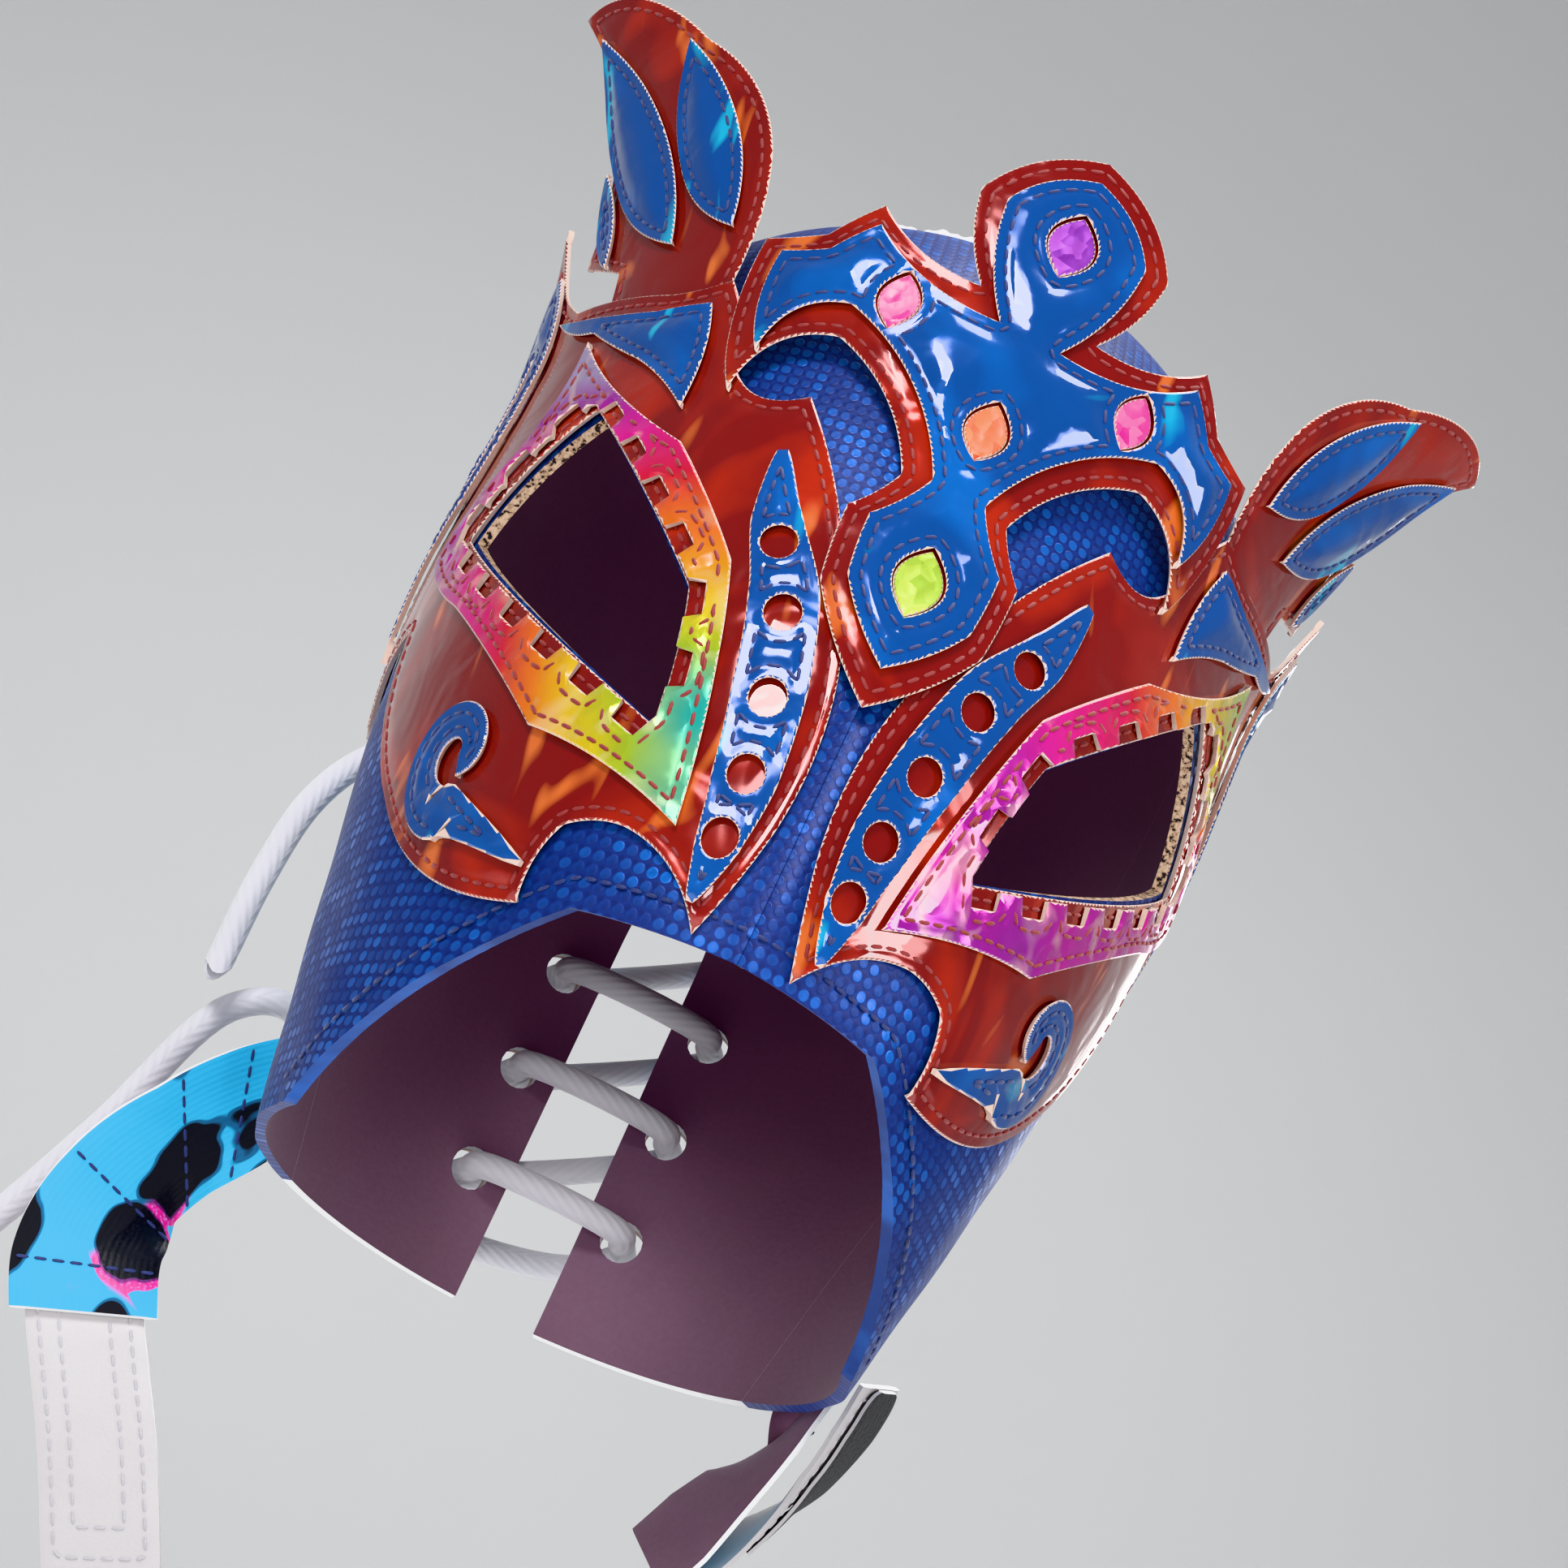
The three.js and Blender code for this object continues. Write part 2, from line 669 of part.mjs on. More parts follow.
// Blue volute on the cheek: a strip that comes up from the cheek tip and winds in.
function cheekCurve() {
  const { across, below, radius, strip, turns, start, tail } = cheek;
  const drop = eye.top + eye.tall + below;
  const steps = 20;
  const winding = Array.from({ length: steps + 1 }, (_, k) => {
    const share = k / steps;
    const away = (radius - strip / 2) * (1 - 0.8 * share);
    const angle = THREE.MathUtils.degToRad(start - 360 * turns * share);
    return flat(across + away * Math.cos(angle), drop + away * Math.sin(angle));
  });
  return new THREE.SplineCurve([flat(across - tail, drop + 0.7 * tail), ...winding]);
}

function cheekVolute() {
  const outline = stripLoop(cheekCurve(), 32, (share) => {
    const swell = Math.min(1, 0.1 + share * 16);
    return (cheek.strip / 2) * swell * (1 - 0.5 * share);
  });
  return laidSheet({ outline, place: onStanding, ...topLayer });
}

// Blue leaves on the temple, one above the other
const leafRows = table(
  "across down bow",
  [0.28, 0, 0.1], // upper tip
  [0.56, 0.26, -0.08],
  [0.5, 0.42, 0.06],
  [0.72, 0.5, -0.06],
  [0.62, 0.68, 0.05],
  [1, 1, -0.06], // lower tip
  [0.32, 0.66, 0.08],
  [0.1, 0.34, 0.1],
);

function templeLeaf() {
  const box = {
    left: plate.wide * temple.root,
    wide: plate.wide * temple.wide,
    top: plate.top + plate.tall * temple.top,
    tall: plate.tall * temple.tall,
  };
  const outline = bowedLoop(framed(leafRows, box));
  const slit = bowedLoop(
    framed(
      table("across down bow", [0.33, 0.22, 0.12], [0.42, 0.42, 0.1], [0.5, 0.62, 0.12], [0.34, 0.44, 0.1]),
      box,
    ),
  );
  return laidSheet({ outline, holes: [slit], place: onStanding, ...topLayer });
}

// Blue flame over the brow, under the root of the horn
const browRows = table(
  "across down bow",
  [0.385, 0.32, 0.06],
  [0.415, 0.145, 0],
  [0.5, 0.155, -0.03],
  [0.74, 0.115, 0.08],
  [0.62, 0.17, 0.02],
  [0.5, 0.235, -0.04],
);

function browFlame() {
  const outline = bowedLoop(framed(browRows, plateBox));
  return laidSheet({ outline, place: onStanding, ...topLayer });
}

// Horns: a red crescent on each side that stands out above the temple, with blue leaves

const hornRows = table(
  "across down bow",
  [0.98, 0, 0.13], // tip
  [0.34, 0.16, 0.12],
  [0.02, 0.5, 0.05],
  [0.06, 0.98, 0], // root, behind the plate round the eye
  [0.62, 0.98, 0],
  [0.64, 0.79, 0],
  [0.93, 0.71, -0.14], // low outer tip
);
const hornBox = { left: horn.root, wide: horn.wide, top: horn.top, tall: horn.tall };

// The horn stands behind the plate that overlaps its root.
const hornLayers = {
  base: { low: -vinyl.sheet, high: 0 },
  top: { low: vinyl.gap, high: vinyl.gap + vinyl.sheet },
};

function hornPlate() {
  return laidSheet({ outline: bowedLoop(framed(hornRows, hornBox)), place: onStanding, ...hornLayers.base });
}

const hornLeaves = table(
  "rootAcross rootDown tipAcross tipDown swell",
  [0.34, 0.76, 0.86, 0.08, 0.19],
  [0.71, 0.77, 0.83, 0.46, 0.17],
  [0.09, 0.72, 0.4, 0.16, 0.22],
);

function hornLeaf(row) {
  const corners = framed(
    [
      { across: row.rootAcross, down: row.rootDown, bow: row.swell },
      { across: row.tipAcross, down: row.tipDown, bow: row.swell },
    ],
    hornBox,
  );
  const [root, tip] = corners;
  const side = flat(tip.across - root.across, tip.down - root.down);
  const middle = {
    across: root.across + 0.4 * side.x - row.swell * side.y,
    down: root.down + 0.4 * side.y + row.swell * side.x,
    bow: row.swell / 2,
  };
  const outline = bowedLoop([root, middle, tip].map((corner) => ({ ...corner, bow: row.swell / 2 })));
  return laidSheet({ outline, place: onStanding, ...hornLayers.top });
}

// Crest: a stiff plate on the brow that stands free above the crown

const crestRows = table(
  "across down bow",
  [0, 0, 0.1], // top of the middle lobe
  [0.34, 0.13, 0.08],
  [0.22, 0.29, -0.12],
  [0.62, 0.21, 0.02], // upper side lobe
  [0.78, 0.28, -0.03],
  [1, 0.3, 0.1],
  [0.9, 0.58, -0.22], // end of the side lobe
  [0.6, 0.45, -0.1],
  [0.2, 0.64, -0.05], // waist
  [0.32, 0.72, 0.02],
  [0.3, 0.85, 0.06],
  [0, 1, 0],
);
const crestBox = {
  left: 0,
  wide: plate.wide * crest.wide,
  top: plate.top - crest.rise,
  tall: plate.tall * crest.tall,
};

// The corners of a pattern that is even on the two sides of the middle. Its first and last
// rows lie on the middle line.
function evenCorners(rows, box) {
  const half = framed(rows, box);
  const other = half.slice(0, -1).map((corner, i) => {
    const { across, down } = half[i + 1];
    return { across: -across, down, bow: corner.bow };
  });
  return [...half.slice(0, -1), ...other.reverse()];
}

// The same corners pulled in by a border.
function insetCorners(corners, border) {
  const loop = insetLoop(corners.map((corner) => flat(corner.across, corner.down)), border);
  return loop.map((point, i) => ({ across: point.x, down: point.y, bow: corners[i].bow }));
}

const crestCorners = evenCorners(crestRows, crestBox);

// Pointed oval windows, with shares of the crest's box and of the window's own size
const crestWindows = table(
  "name across down size",
  ["top", 0, 0.17, 1],
  ["upper_left", -0.45, 0.37, 0.9],
  ["upper_right", 0.45, 0.37, 0.9],
  ["middle", 0, 0.52, 0.95],
  ["lower", 0, 0.8, 1.05],
);

function windowLoop(row, clearance) {
  const centre = flat(row.across * crestBox.wide, crestBox.top + row.down * crestBox.tall);
  const half = (row.size * crest.window) / 2 - clearance;
  return bowedLoop([
    { across: centre.x, down: centre.y - half, bow: crest.windowBow },
    { across: centre.x, down: centre.y + half, bow: crest.windowBow },
  ]);
}

// The crest lies over the plates of the eyes.
const crestLayers = {
  base: topLayer,
  top: { low: topLayer.high + vinyl.gap, high: topLayer.high + vinyl.gap + vinyl.sheet },
  foil: { low: topLayer.high + vinyl.gap, high: topLayer.high + vinyl.gap + vinyl.foil },
};

function crestBase() {
  return laidSheet({ outline: bowedLoop(crestCorners), place: onStanding, ...crestLayers.base });
}

function crestOverlay() {
  return laidSheet({
    outline: bowedLoop(insetCorners(crestCorners, crest.border)),
    holes: crestWindows.map((row) => windowLoop(row, 0)),
    place: onStanding,
    ...crestLayers.top,
  });
}

function crestWindow(row) {
  return laidSheet({ outline: windowLoop(row, vinyl.clearance), place: onStanding, ...crestLayers.foil });
}

// Iridescent strip over the rear edge of the front panel
function rearStrip() {
  return gridWall(2, 7, (across, along, side) => {
    const drop = THREE.MathUtils.lerp(sideStrip.top, sideStrip.bottom, along);
    const turn = seamTurn(drop, -cloth.seamGap) - (across * sideStrip.width) / wrapRadius;
    const out = baseLayer.low + side * vinyl.foil;
    return onForm(headForm, turn, drop, out);
  });
}

// Straps and tabs: ribbons along rows of places, each with the direction across the ribbon

function ribbon(root, rows, { width, thick, from = 0, to = 1, shift = 0, end = 1 }) {
  const path = new THREE.CatmullRomCurve3(rows.map((row) => new THREE.Vector3(row.x, row.y, row.z).add(root)));
  const across = rows.map((row) => new THREE.Vector3(row.ax, row.ay, row.az).normalize());
  const steps = Math.ceil(3 * (rows.length - 1) * (to - from));
  return gridWall(steps, 2, (along, over, side) => {
    const at = from + along * (to - from);
    const k = Math.min(rows.length - 2, Math.floor(at * (rows.length - 1)));
    const wide = across[k].clone().lerp(across[k + 1], at * (rows.length - 1) - k).normalize();
    const face = new THREE.Vector3().crossVectors(wide, path.getTangent(at)).normalize();
    const rounding = Math.min(1, (1 - along) / tab.rounding);
    const half = (width / 2) * (end + (1 - end) * Math.sqrt(1 - (1 - rounding) ** 2));
    return path
      .getPoint(at)
      .addScaledVector(wide, (2 * over - 1) * half)
      .addScaledVector(face, shift + (side - 0.5) * thick);
  });
}

// Where the middle of a strap's end meets the rear edge of the hood
const rightRoot = onForm(headForm, seamTurn(strap.drop, 0), strap.drop, 0);
const leftRoot = rightRoot.clone().setX(-rightRoot.x);

// The runs are measured from the strap's root. The left strap and the tab that laps its end
// share one run.
const leftRun = table(
  "x y z ax ay az",
  [-3.6, -2.2, 0, -0.2, 0.1, 1],
  [-12.2, -6.5, -10.5, -0.35, -0.3, 0.9],
  [-17.7, -9, -20.5, -0.5, -0.45, 0.7],
  [-21.2, -11.5, -31.5, -0.8, -0.4, 0.2],
  [-21.2, -14.5, -42.5, -0.93, -0.1, -0.3],
  [-16.7, -17.5, -52.5, -0.93, 0.15, -0.33],
  [-10.7, -18, -62, -0.92, 0.2, -0.34],
  [-4.7, -16.5, -71, -0.9, 0.21, -0.37],
  [1.3, -13.5, -81, -0.9, 0.22, -0.38],
  [7.3, -9, -91.5, -0.9, 0.21, -0.37],
);
const rightRun = table(
  "x y z ax ay az",
  [3.6, -2.2, 0, 0.2, 0.1, 1],
  [7.2, -4.5, -9.5, 0.2, -0.6, 0.78],
  [4.2, -2, -19, 0.22, -0.85, 0.3],
  [0, 0.5, -28.5, 0.22, -0.9, -0.2],
  [-3.8, 2.8, -37.9, 0.27, -0.87, -0.41],
  [-7.7, 4.6, -46.7, 0.27, -0.87, -0.41],
);
// The right tab is folded back beside its strap, and its hook strip faces the front.
const foldedRun = table(
  "x y z ax ay az",
  [-5.8, 5.4, -46.9, -0.27, 0.87, 0.41],
  [2, 3.4, -40, -0.15, 0.93, 0.35],
  [8.3, -1, -31, 0.1, 0.95, 0.22],
  [12.8, -5, -21.5, 0.35, 0.91, 0.15],
  [15.5, -8.5, -11, 0.47, 0.85, 0.23],
  [16.7, -11, -1, 0.48, 0.83, 0.28],
);
const lap = (strap.thick + tab.thick) / 2 + tab.clear;
const hookShift = (tab.thick + hook.thick) / 2 + hook.clear;

// Laces: a held zigzag through the eyelets, and two free ends

const outer = facing.lift + vinyl.sheet + lace.clear + lace.diameter / 2;
const inner = -(cloth.wall + lace.clear + lace.diameter / 2);

function slitPoint(right, row, out) {
  const point = alongSlit(eyeletSpots[row], out);
  if (!right) point.x = -point.x;
  return point;
}

// Down the slit: in at the left eyelet, out at the right one, and over to the next left one.
function lacingRoute() {
  const route = [];
  for (let row = 0; row < eyelet.rows; row += 1) {
    for (const out of [outer, -cloth.wall / 2, inner]) route.push(slitPoint(false, row, out));
    for (const out of [inner, -cloth.wall / 2, outer]) route.push(slitPoint(true, row, out));
  }
  return route;
}

// The free ends' points, chosen by hand. They repeat in the scene.
const laceRoutes = {
  upper: table(
    "x y z",
    [-18.8, 103, -82.5],
    [-38, 96, -88],
    [-60, 76, -102],
    [-73, 56, -118],
    [-79, 45, -136],
    [-80, 40, -156],
    [-79, 38, -177],
  ),
  lower: table(
    "x y z",
    [19.6, 86.2, -182],
    [13, 93, -187],
    [0, 95, -191],
    [-22, 86, -194],
    [-46, 68, -186],
    [-64, 52, -174],
    [-74, 49, -180],
    [-84, 43, -212],
    [-93, 45, -235],
    [-98, 36, -248],
  ),
};

function cord(points, stepsPerSpan) {
  const steps = Math.ceil(stepsPerSpan * (points.length - 1));
  const circle = roundLoop(flat(0, 0), lace.diameter / 2);
  const path = new THREE.CatmullRomCurve3(points, false, "centripetal");
  const tube = new THREE.ExtrudeGeometry(new THREE.Shape(circle), { steps, extrudePath: path });
  tube.deleteAttribute("normal");
  tube.deleteAttribute("uv");
  return mergeVertices(tube, 1e-3);
}

// Materials

function finish(color, roughness, metalness) {
  return new THREE.MeshStandardMaterial({ color, roughness, metalness });
}

const blueCloth = () => finish(0x1436b8, 0.55, 0.2);
const printedCloth = () => finish(0x3fb4dc, 0.85, 0);
const redVinyl = () => finish(0xb3261c, 0.18, 0.25);
const blueVinyl = () => finish(0x0f56b4, 0.16, 0.3);
const rainbowFoil = () => finish(0xd04a8e, 0.15, 0.6);
const windowFoil = () => finish(0xe05a70, 0.3, 0.4);
const clearFoil = () => finish(0xcfd6dc, 0.15, 0.5);
const whiteVinyl = () => finish(0xe4dfe0, 0.5, 0);
const hookTape = () => finish(0x101010, 0.95, 0);

// The mask

const mask = new THREE.Group();

function add(name, geometry, material) {
  const mesh = new THREE.Mesh(geometry, material);
  mesh.name = name;
  mask.add(mesh);
}

function addPair(name, geometry, material) {
  add(`${name}_right`, geometry, material());
  add(`${name}_left`, mirrored(geometry), material());
}

addPair("hood_front", hoodFront(), blueCloth);
addPair("hood_back", hoodBack(), printedCloth);
addPair("eyelet_facing", eyeletFacing(), whiteVinyl);
add("crown_welt", crownWelt(), whiteVinyl());
addPair("eye_plate", eyePlate(), redVinyl);
addPair("eye_band", eyeBand(), rainbowFoil);
addPair("nose_strip", noseStrip(), blueVinyl);
addPair("cheek_volute", cheekVolute(), blueVinyl);
addPair("temple_leaf", templeLeaf(), blueVinyl);
addPair("brow_flame", browFlame(), blueVinyl);
addPair("horn", hornPlate(), redVinyl);
hornLeaves.forEach((row, k) => addPair(`horn_leaf_${k + 1}`, hornLeaf(row), blueVinyl));
add("crest_base", crestBase(), redVinyl());
add("crest_overlay", crestOverlay(), blueVinyl());
crestWindows.forEach((row) => add(`crest_window_${row.name}`, crestWindow(row), windowFoil()));
addPair("side_strip", rearStrip(), clearFoil);
add("strap_left", ribbon(leftRoot, leftRun, { ...strap, to: 0.56 }), printedCloth());
add("strap_right", ribbon(rightRoot, rightRun, strap), printedCloth());
add("tab_left", ribbon(leftRoot, leftRun, { ...tab, from: 0.46, shift: -lap }), whiteVinyl());
add("tab_right", ribbon(rightRoot, foldedRun, tab), whiteVinyl());
const hookRibbon = ribbon(rightRoot, foldedRun, { ...hook, from: 0.3, end: tab.end, shift: hookShift });
add("hook_strip_right", hookRibbon, hookTape());
add("lacing", cord(lacingRoute(), lace.heldSpan), whiteVinyl());
for (const [name, rows] of Object.entries(laceRoutes)) {
  const points = rows.map((row) => new THREE.Vector3(row.x, row.y, row.z));
  add(`lace_end_${name}`, cord(points, lace.freeSpan), whiteVinyl());
}

mask.position.z = cloth.wall; // the crown's inner face is the origin
export default mask;
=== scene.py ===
import math

import bpy
import numpy as np
from mathutils import Matrix, Vector
from mathutils.geometry import delaunay_2d_cdt


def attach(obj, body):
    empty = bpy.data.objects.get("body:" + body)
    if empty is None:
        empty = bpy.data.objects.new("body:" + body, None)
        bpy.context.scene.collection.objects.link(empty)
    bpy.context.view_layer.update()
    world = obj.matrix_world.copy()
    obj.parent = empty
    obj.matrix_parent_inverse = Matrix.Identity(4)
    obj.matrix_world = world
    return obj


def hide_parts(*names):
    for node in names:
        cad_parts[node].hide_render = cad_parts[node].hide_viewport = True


bl_info = {
    "name": "Wrestling Mask",
    "version": (1, 0, 0),
    "blender": (4, 5, 0),
    "location": "3D View > Sidebar > Mask",
    "description": "Builds the cloth, vinyl, foil, stitches and laces of a wrestling mask",
    "category": "Object",
}

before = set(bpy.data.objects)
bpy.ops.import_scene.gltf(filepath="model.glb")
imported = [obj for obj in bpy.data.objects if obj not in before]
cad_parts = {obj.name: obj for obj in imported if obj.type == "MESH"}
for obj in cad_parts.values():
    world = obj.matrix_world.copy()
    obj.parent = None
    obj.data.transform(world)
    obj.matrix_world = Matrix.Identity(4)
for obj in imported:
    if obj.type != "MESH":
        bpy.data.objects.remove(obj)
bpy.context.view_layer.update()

MM = 0.001
LIFT = 2.0  # the crown of the head lies this far under the cloth's outer face
WRAP = 85.0  # flat patterns are laid round the head on this radius
HEAD = {"height": 223.0, "side": 75.0, "face": 98.5, "nape": 100.0}


# Settings


def length(name, words, value):
    return bpy.props.FloatProperty(name=name, description=words, default=value, unit="LENGTH")


class MaskSizes(bpy.types.PropertyGroup):
    """Sizes in metres that change the look of the mask's surfaces."""

    stitch_pitch: length("Stitch pitch", "From one stitch to the next", 0.0031)
    stitch_radius: length("Thread radius", "Radius of the sewing thread", 0.00033)
    stitch_inset: length("Stitch inset", "From a plate's cut edge to its stitches", 0.0021)
    cut_edge: length("Cut edge", "Width of the pale cut edge of a plate", 0.00035)
    puff: length("Puff", "Swelling of the padded plates", 0.001)
    dot_pitch: length("Dot pitch", "Spacing of the foil dots on the blue cloth", 0.0023)
    lace_diameter: length("Lace diameter", "Diameter of the laces", 0.0056)
    floor_drop: length("Floor drop", "Depth of the floor below the crown", 0.42)


def colour(name, words, value):
    return bpy.props.FloatVectorProperty(
        name=name, description=words, default=value, subtype="COLOR", size=3, min=0.0, max=1.0
    )


class MaskColours(bpy.types.PropertyGroup):
    """Colours of the mask's cloths, vinyls, foils and threads."""

    blue_cloth: colour("Blue cloth", "Ground of the stretch cloth", (0.002, 0.012, 0.115))
    blue_dots: colour("Blue dots", "Foil dots on the stretch cloth", (0.05, 0.24, 0.86))
    red_vinyl: colour("Red vinyl", "Main colour of the red plates", (0.20, 0.008, 0.007))
    # painted sheen: a lighter red painted in patches where the red plates would catch the light
    red_glow: colour("Red glow", "Lighter sheen of the red plates", (0.72, 0.045, 0.015))
    blue_vinyl: colour("Blue vinyl", "Main colour of the blue plates", (0.004, 0.06, 0.27))
    # painted sheen: a lighter blue painted in patches where the blue plates would catch the light
    blue_glow: colour("Blue glow", "Lighter sheen of the blue plates", (0.01, 0.20, 0.75))
    cut_foam: colour("Cut foam", "Pale cut edges of the plates", (0.52, 0.36, 0.30))
    print_ground: colour("Print ground", "Ground of the printed cloth", (0.035, 0.42, 0.72))
    print_spots: colour("Print spots", "Dark spots of the printed cloth", (0.004, 0.004, 0.008))
    print_accent: colour("Print accent", "Bright accents of the printed cloth", (0.80, 0.03, 0.34))
    lining: colour("Lining", "Lining of the hood", (0.20, 0.11, 0.16))
    white_vinyl: colour("White vinyl", "Tabs and facings", (0.44, 0.42, 0.43))
    lace: colour("Lace", "Laces", (0.56, 0.55, 0.59))
    navy_thread: colour("Navy thread", "Stitches on blue pieces", (0.006, 0.014, 0.09))
    red_thread: colour("Red thread", "Stitches on red pieces", (0.16, 0.008, 0.008))
    hook_tape: colour("Hook tape", "Hook strip", (0.012, 0.012, 0.014))
    floor: colour("Floor", "Floor and backdrop", (0.80, 0.80, 0.80))


def sizes():
    return bpy.context.scene.mask_sizes


def colours():
    return bpy.context.scene.mask_colours


# Node trees written as expressions


class Wire:
    """A socket or a number that takes part in an expression."""

    def __init__(self, paint, source):
        self.paint = paint
        self.source = source

    def _math(self, operation, *others):
        values = [other.source if isinstance(other, Wire) else other for other in others]
        return self.paint.node("ShaderNodeMath", {"operation": operation}, [self.source, *values])

    def __add__(self, other):
        return self._math("ADD", other)

    __radd__ = __add__

    def __mul__(self, other):
        return self._math("MULTIPLY", other)

    __rmul__ = __mul__

    def __sub__(self, other):
        return self._math("SUBTRACT", other)

    def __rsub__(self, other):
        return Wire(self.paint, other)._math("SUBTRACT", self)

    def sine(self):
        return self._math("SINE")

    def between(self, low, high):
        """0 below low, 1 above high, and an even ramp from one to the other."""
        settings = {"clamp": True}
        return self.paint.node("ShaderNodeMapRange", settings, {"Value": self, "From Min": low, "From Max": high})


class Paint:
    """One material and the nodes that colour it."""

    def __init__(self, name):
        self.material = bpy.data.materials.new(name)
        self.material.use_nodes = True
        self.tree = self.material.node_tree
        self.tree.nodes.clear()
        self.shader = self.tree.nodes.new("ShaderNodeBsdfPrincipled")
        self.output = self.tree.nodes.new("ShaderNodeOutputMaterial")
        self.tree.links.new(self.shader.outputs["BSDF"], self.output.inputs["Surface"])

    def put(self, socket, value):
        value = value.source if isinstance(value, Wire) else value
        if isinstance(value, bpy.types.NodeSocket):
            self.tree.links.new(value, socket)
        elif hasattr(socket.default_value, "__len__") and len(socket.default_value) == 4:
            socket.default_value = (*tuple(value)[:3], 1.0)
        else:
            socket.default_value = value

    def node(self, kind, settings=None, values=None, output=0):
        """A node with its settings made first, then the values or links of its sockets."""
        made = self.tree.nodes.new(kind)
        for key, value in (settings or {}).items():
            if key == "stops":
                ramp = made.color_ramp
                while len(ramp.elements) < len(value):
                    ramp.elements.new(0.5)
                for element, (place, tint) in zip(ramp.elements, value):
                    element.position = place
                    element.color = (*tint, 1.0)
            else:
                setattr(made, key, value)
        pairs = enumerate(values) if isinstance(values, list) else (values or {}).items()
        for key, value in pairs:
            self.put(made.inputs[key], value)
        return Wire(self, made.outputs[output])

    def set(self, **values):
        for name, value in values.items():
            self.put(self.shader.inputs[name.replace("_", " ").title().replace("Ior", "IOR")], value)
        return self

    def pattern(self, scale=(1, 1, 1), turn=0.0):
        """The piece's flat pattern, in metres."""
        source = self.node("ShaderNodeUVMap", {"uv_map": "pattern"})
        placed = {"Vector": source, "Scale": scale, "Rotation": (0, 0, turn)}
        return self.node("ShaderNodeMapping", {}, placed)

    def place(self, scale=(1, 1, 1)):
        """The place on the object, in metres."""
        source = self.node("ShaderNodeTexCoord", {}, {}, "Object")
        return self.node("ShaderNodeMapping", {}, {"Vector": source, "Scale": scale})

    def noise(self, vector, scale, detail=2.0, rough=0.5, distortion=0.0):
        values = {"Vector": vector, "Scale": scale, "Detail": detail, "Roughness": rough, "Distortion": distortion}
        return self.node("ShaderNodeTexNoise", {}, values, "Fac")

    def cells(self, vector, scale, randomness=1.0, output="Distance"):
        values = {"Vector": vector, "Scale": scale, "Randomness": randomness}
        return self.node("ShaderNodeTexVoronoi", {}, values, output)

    def mix(self, share, first, second, blend="MIX"):
        """A blend of two colours."""
        made = self.tree.nodes.new("ShaderNodeMix")
        made.data_type = "RGBA"
        made.blend_type = blend
        for key, value in ((0, share), (6, first), (7, second)):
            self.put(made.inputs[key], value)
        return Wire(self, made.outputs[2])

    def ramp(self, share, *stops):
        return self.node("ShaderNodeValToRGB", {"stops": stops}, [share])

    def attribute(self, name):
        return self.node("ShaderNodeAttribute", {"attribute_name": name}, {}, "Fac")

    def bump(self, height, strength=0.3, distance=0.0004):
        values = {"Height": height, "Strength": strength, "Distance": distance}
        made = self.node("ShaderNodeBump", {}, values)
        self.put(self.shader.inputs["Normal"], made)
        return self


finishes = {}


def finish(title):
    """Makes a painting function give its material, painted the first time it is asked for."""
    def wrap(paint_it):
        def material(*choices):
            name = title.format(*choices)
            if name not in finishes:
                paint = Paint(name)
                paint_it(paint, *choices)
                finishes[name] = paint.material
            return finishes[name]

        return material

    return wrap


@finish("blue_stretch_cloth")
def blue_cloth(p):
    flat = p.pattern()
    pitch = 1.0 / sizes().dot_pitch
    away = p.cells(flat, pitch, 0.0)
    lot = p.cells(flat, pitch, 0.0, "Color")
    # painted glint: a random share per dot lightens a few of the foil dots as if they caught the light
    painted_glint_luck = p.node("ShaderNodeSeparateColor", {}, [lot])
    dot = 1.0 - away.between(0.34, 0.42)
    # painted glint: patches where the dots are lightened further
    painted_glint_patches = p.noise(p.place(), 55.0, 3.0, 0.6).between(0.42, 0.62)
    # the foil dots are real; their uneven brightness is painted glint
    dots_and_painted_glint = dot * (0.12 + 0.88 * painted_glint_luck * painted_glint_luck) * (0.25 + 0.75 * painted_glint_patches)
    net = p.cells(p.pattern((1, 1, 1), 0.785), 620.0, 0.0).between(0.2, 0.45)
    c = colours()
    ground = p.mix(net * 0.45, c.blue_cloth, (0.004, 0.028, 0.20))
    p.set(base_color=p.mix(dots_and_painted_glint * 0.85, ground, c.blue_dots), metallic=0.2 + 0.65 * dots_and_painted_glint)
    p.set(roughness=0.5 - 0.24 * dots_and_painted_glint, sheen_weight=0.05, sheen_roughness=0.4)
    p.bump(dot * 0.8 - 0.35 * net, 0.3, 0.0002)


@finish("printed_stretch_cloth")
def printed_cloth(p):
    c = colours()
    flat = p.pattern((1.0, 0.62, 1.0), 0.6)
    warp = p.noise(flat, 70.0, 2.0, 0.5) - 0.5
    away = p.cells(flat, 66.0, 0.85) + 0.75 * warp
    bright = p.noise(flat, 36.0, 1.0, 0.4).between(0.55, 0.57)
    dark = 1.0 - away.between(0.49, 0.50)
    rim = 1.0 - away.between(0.515, 0.53)
    pink = (1.0 - away.between(0.60, 0.615)) * bright
    glitter = p.cells(p.place(), 1500.0, 1.0).between(0.1, 0.5)
    tone = p.noise(p.place(), 900.0, 2.0, 0.7)
    base = p.mix(tone * 0.14, c.print_ground, (0.10, 0.55, 0.80))
    base = p.mix(pink * (0.55 + 0.45 * glitter), base, c.print_accent)
    base = p.mix(rim * 0.8, base, (0.006, 0.02, 0.10))
    base = p.mix(dark, base, c.print_spots)
    p.set(base_color=base, roughness=0.84 - 0.4 * pink * glitter, metallic=0.35 * pink * glitter)
    p.set(sheen_weight=0.06, sheen_roughness=0.5)
    weave = p.node("ShaderNodeSeparateXYZ", {}, [p.pattern((5200, 5200, 1))]).sine()
    p.bump(weave * 0.4 + tone, 0.3, 0.00016)


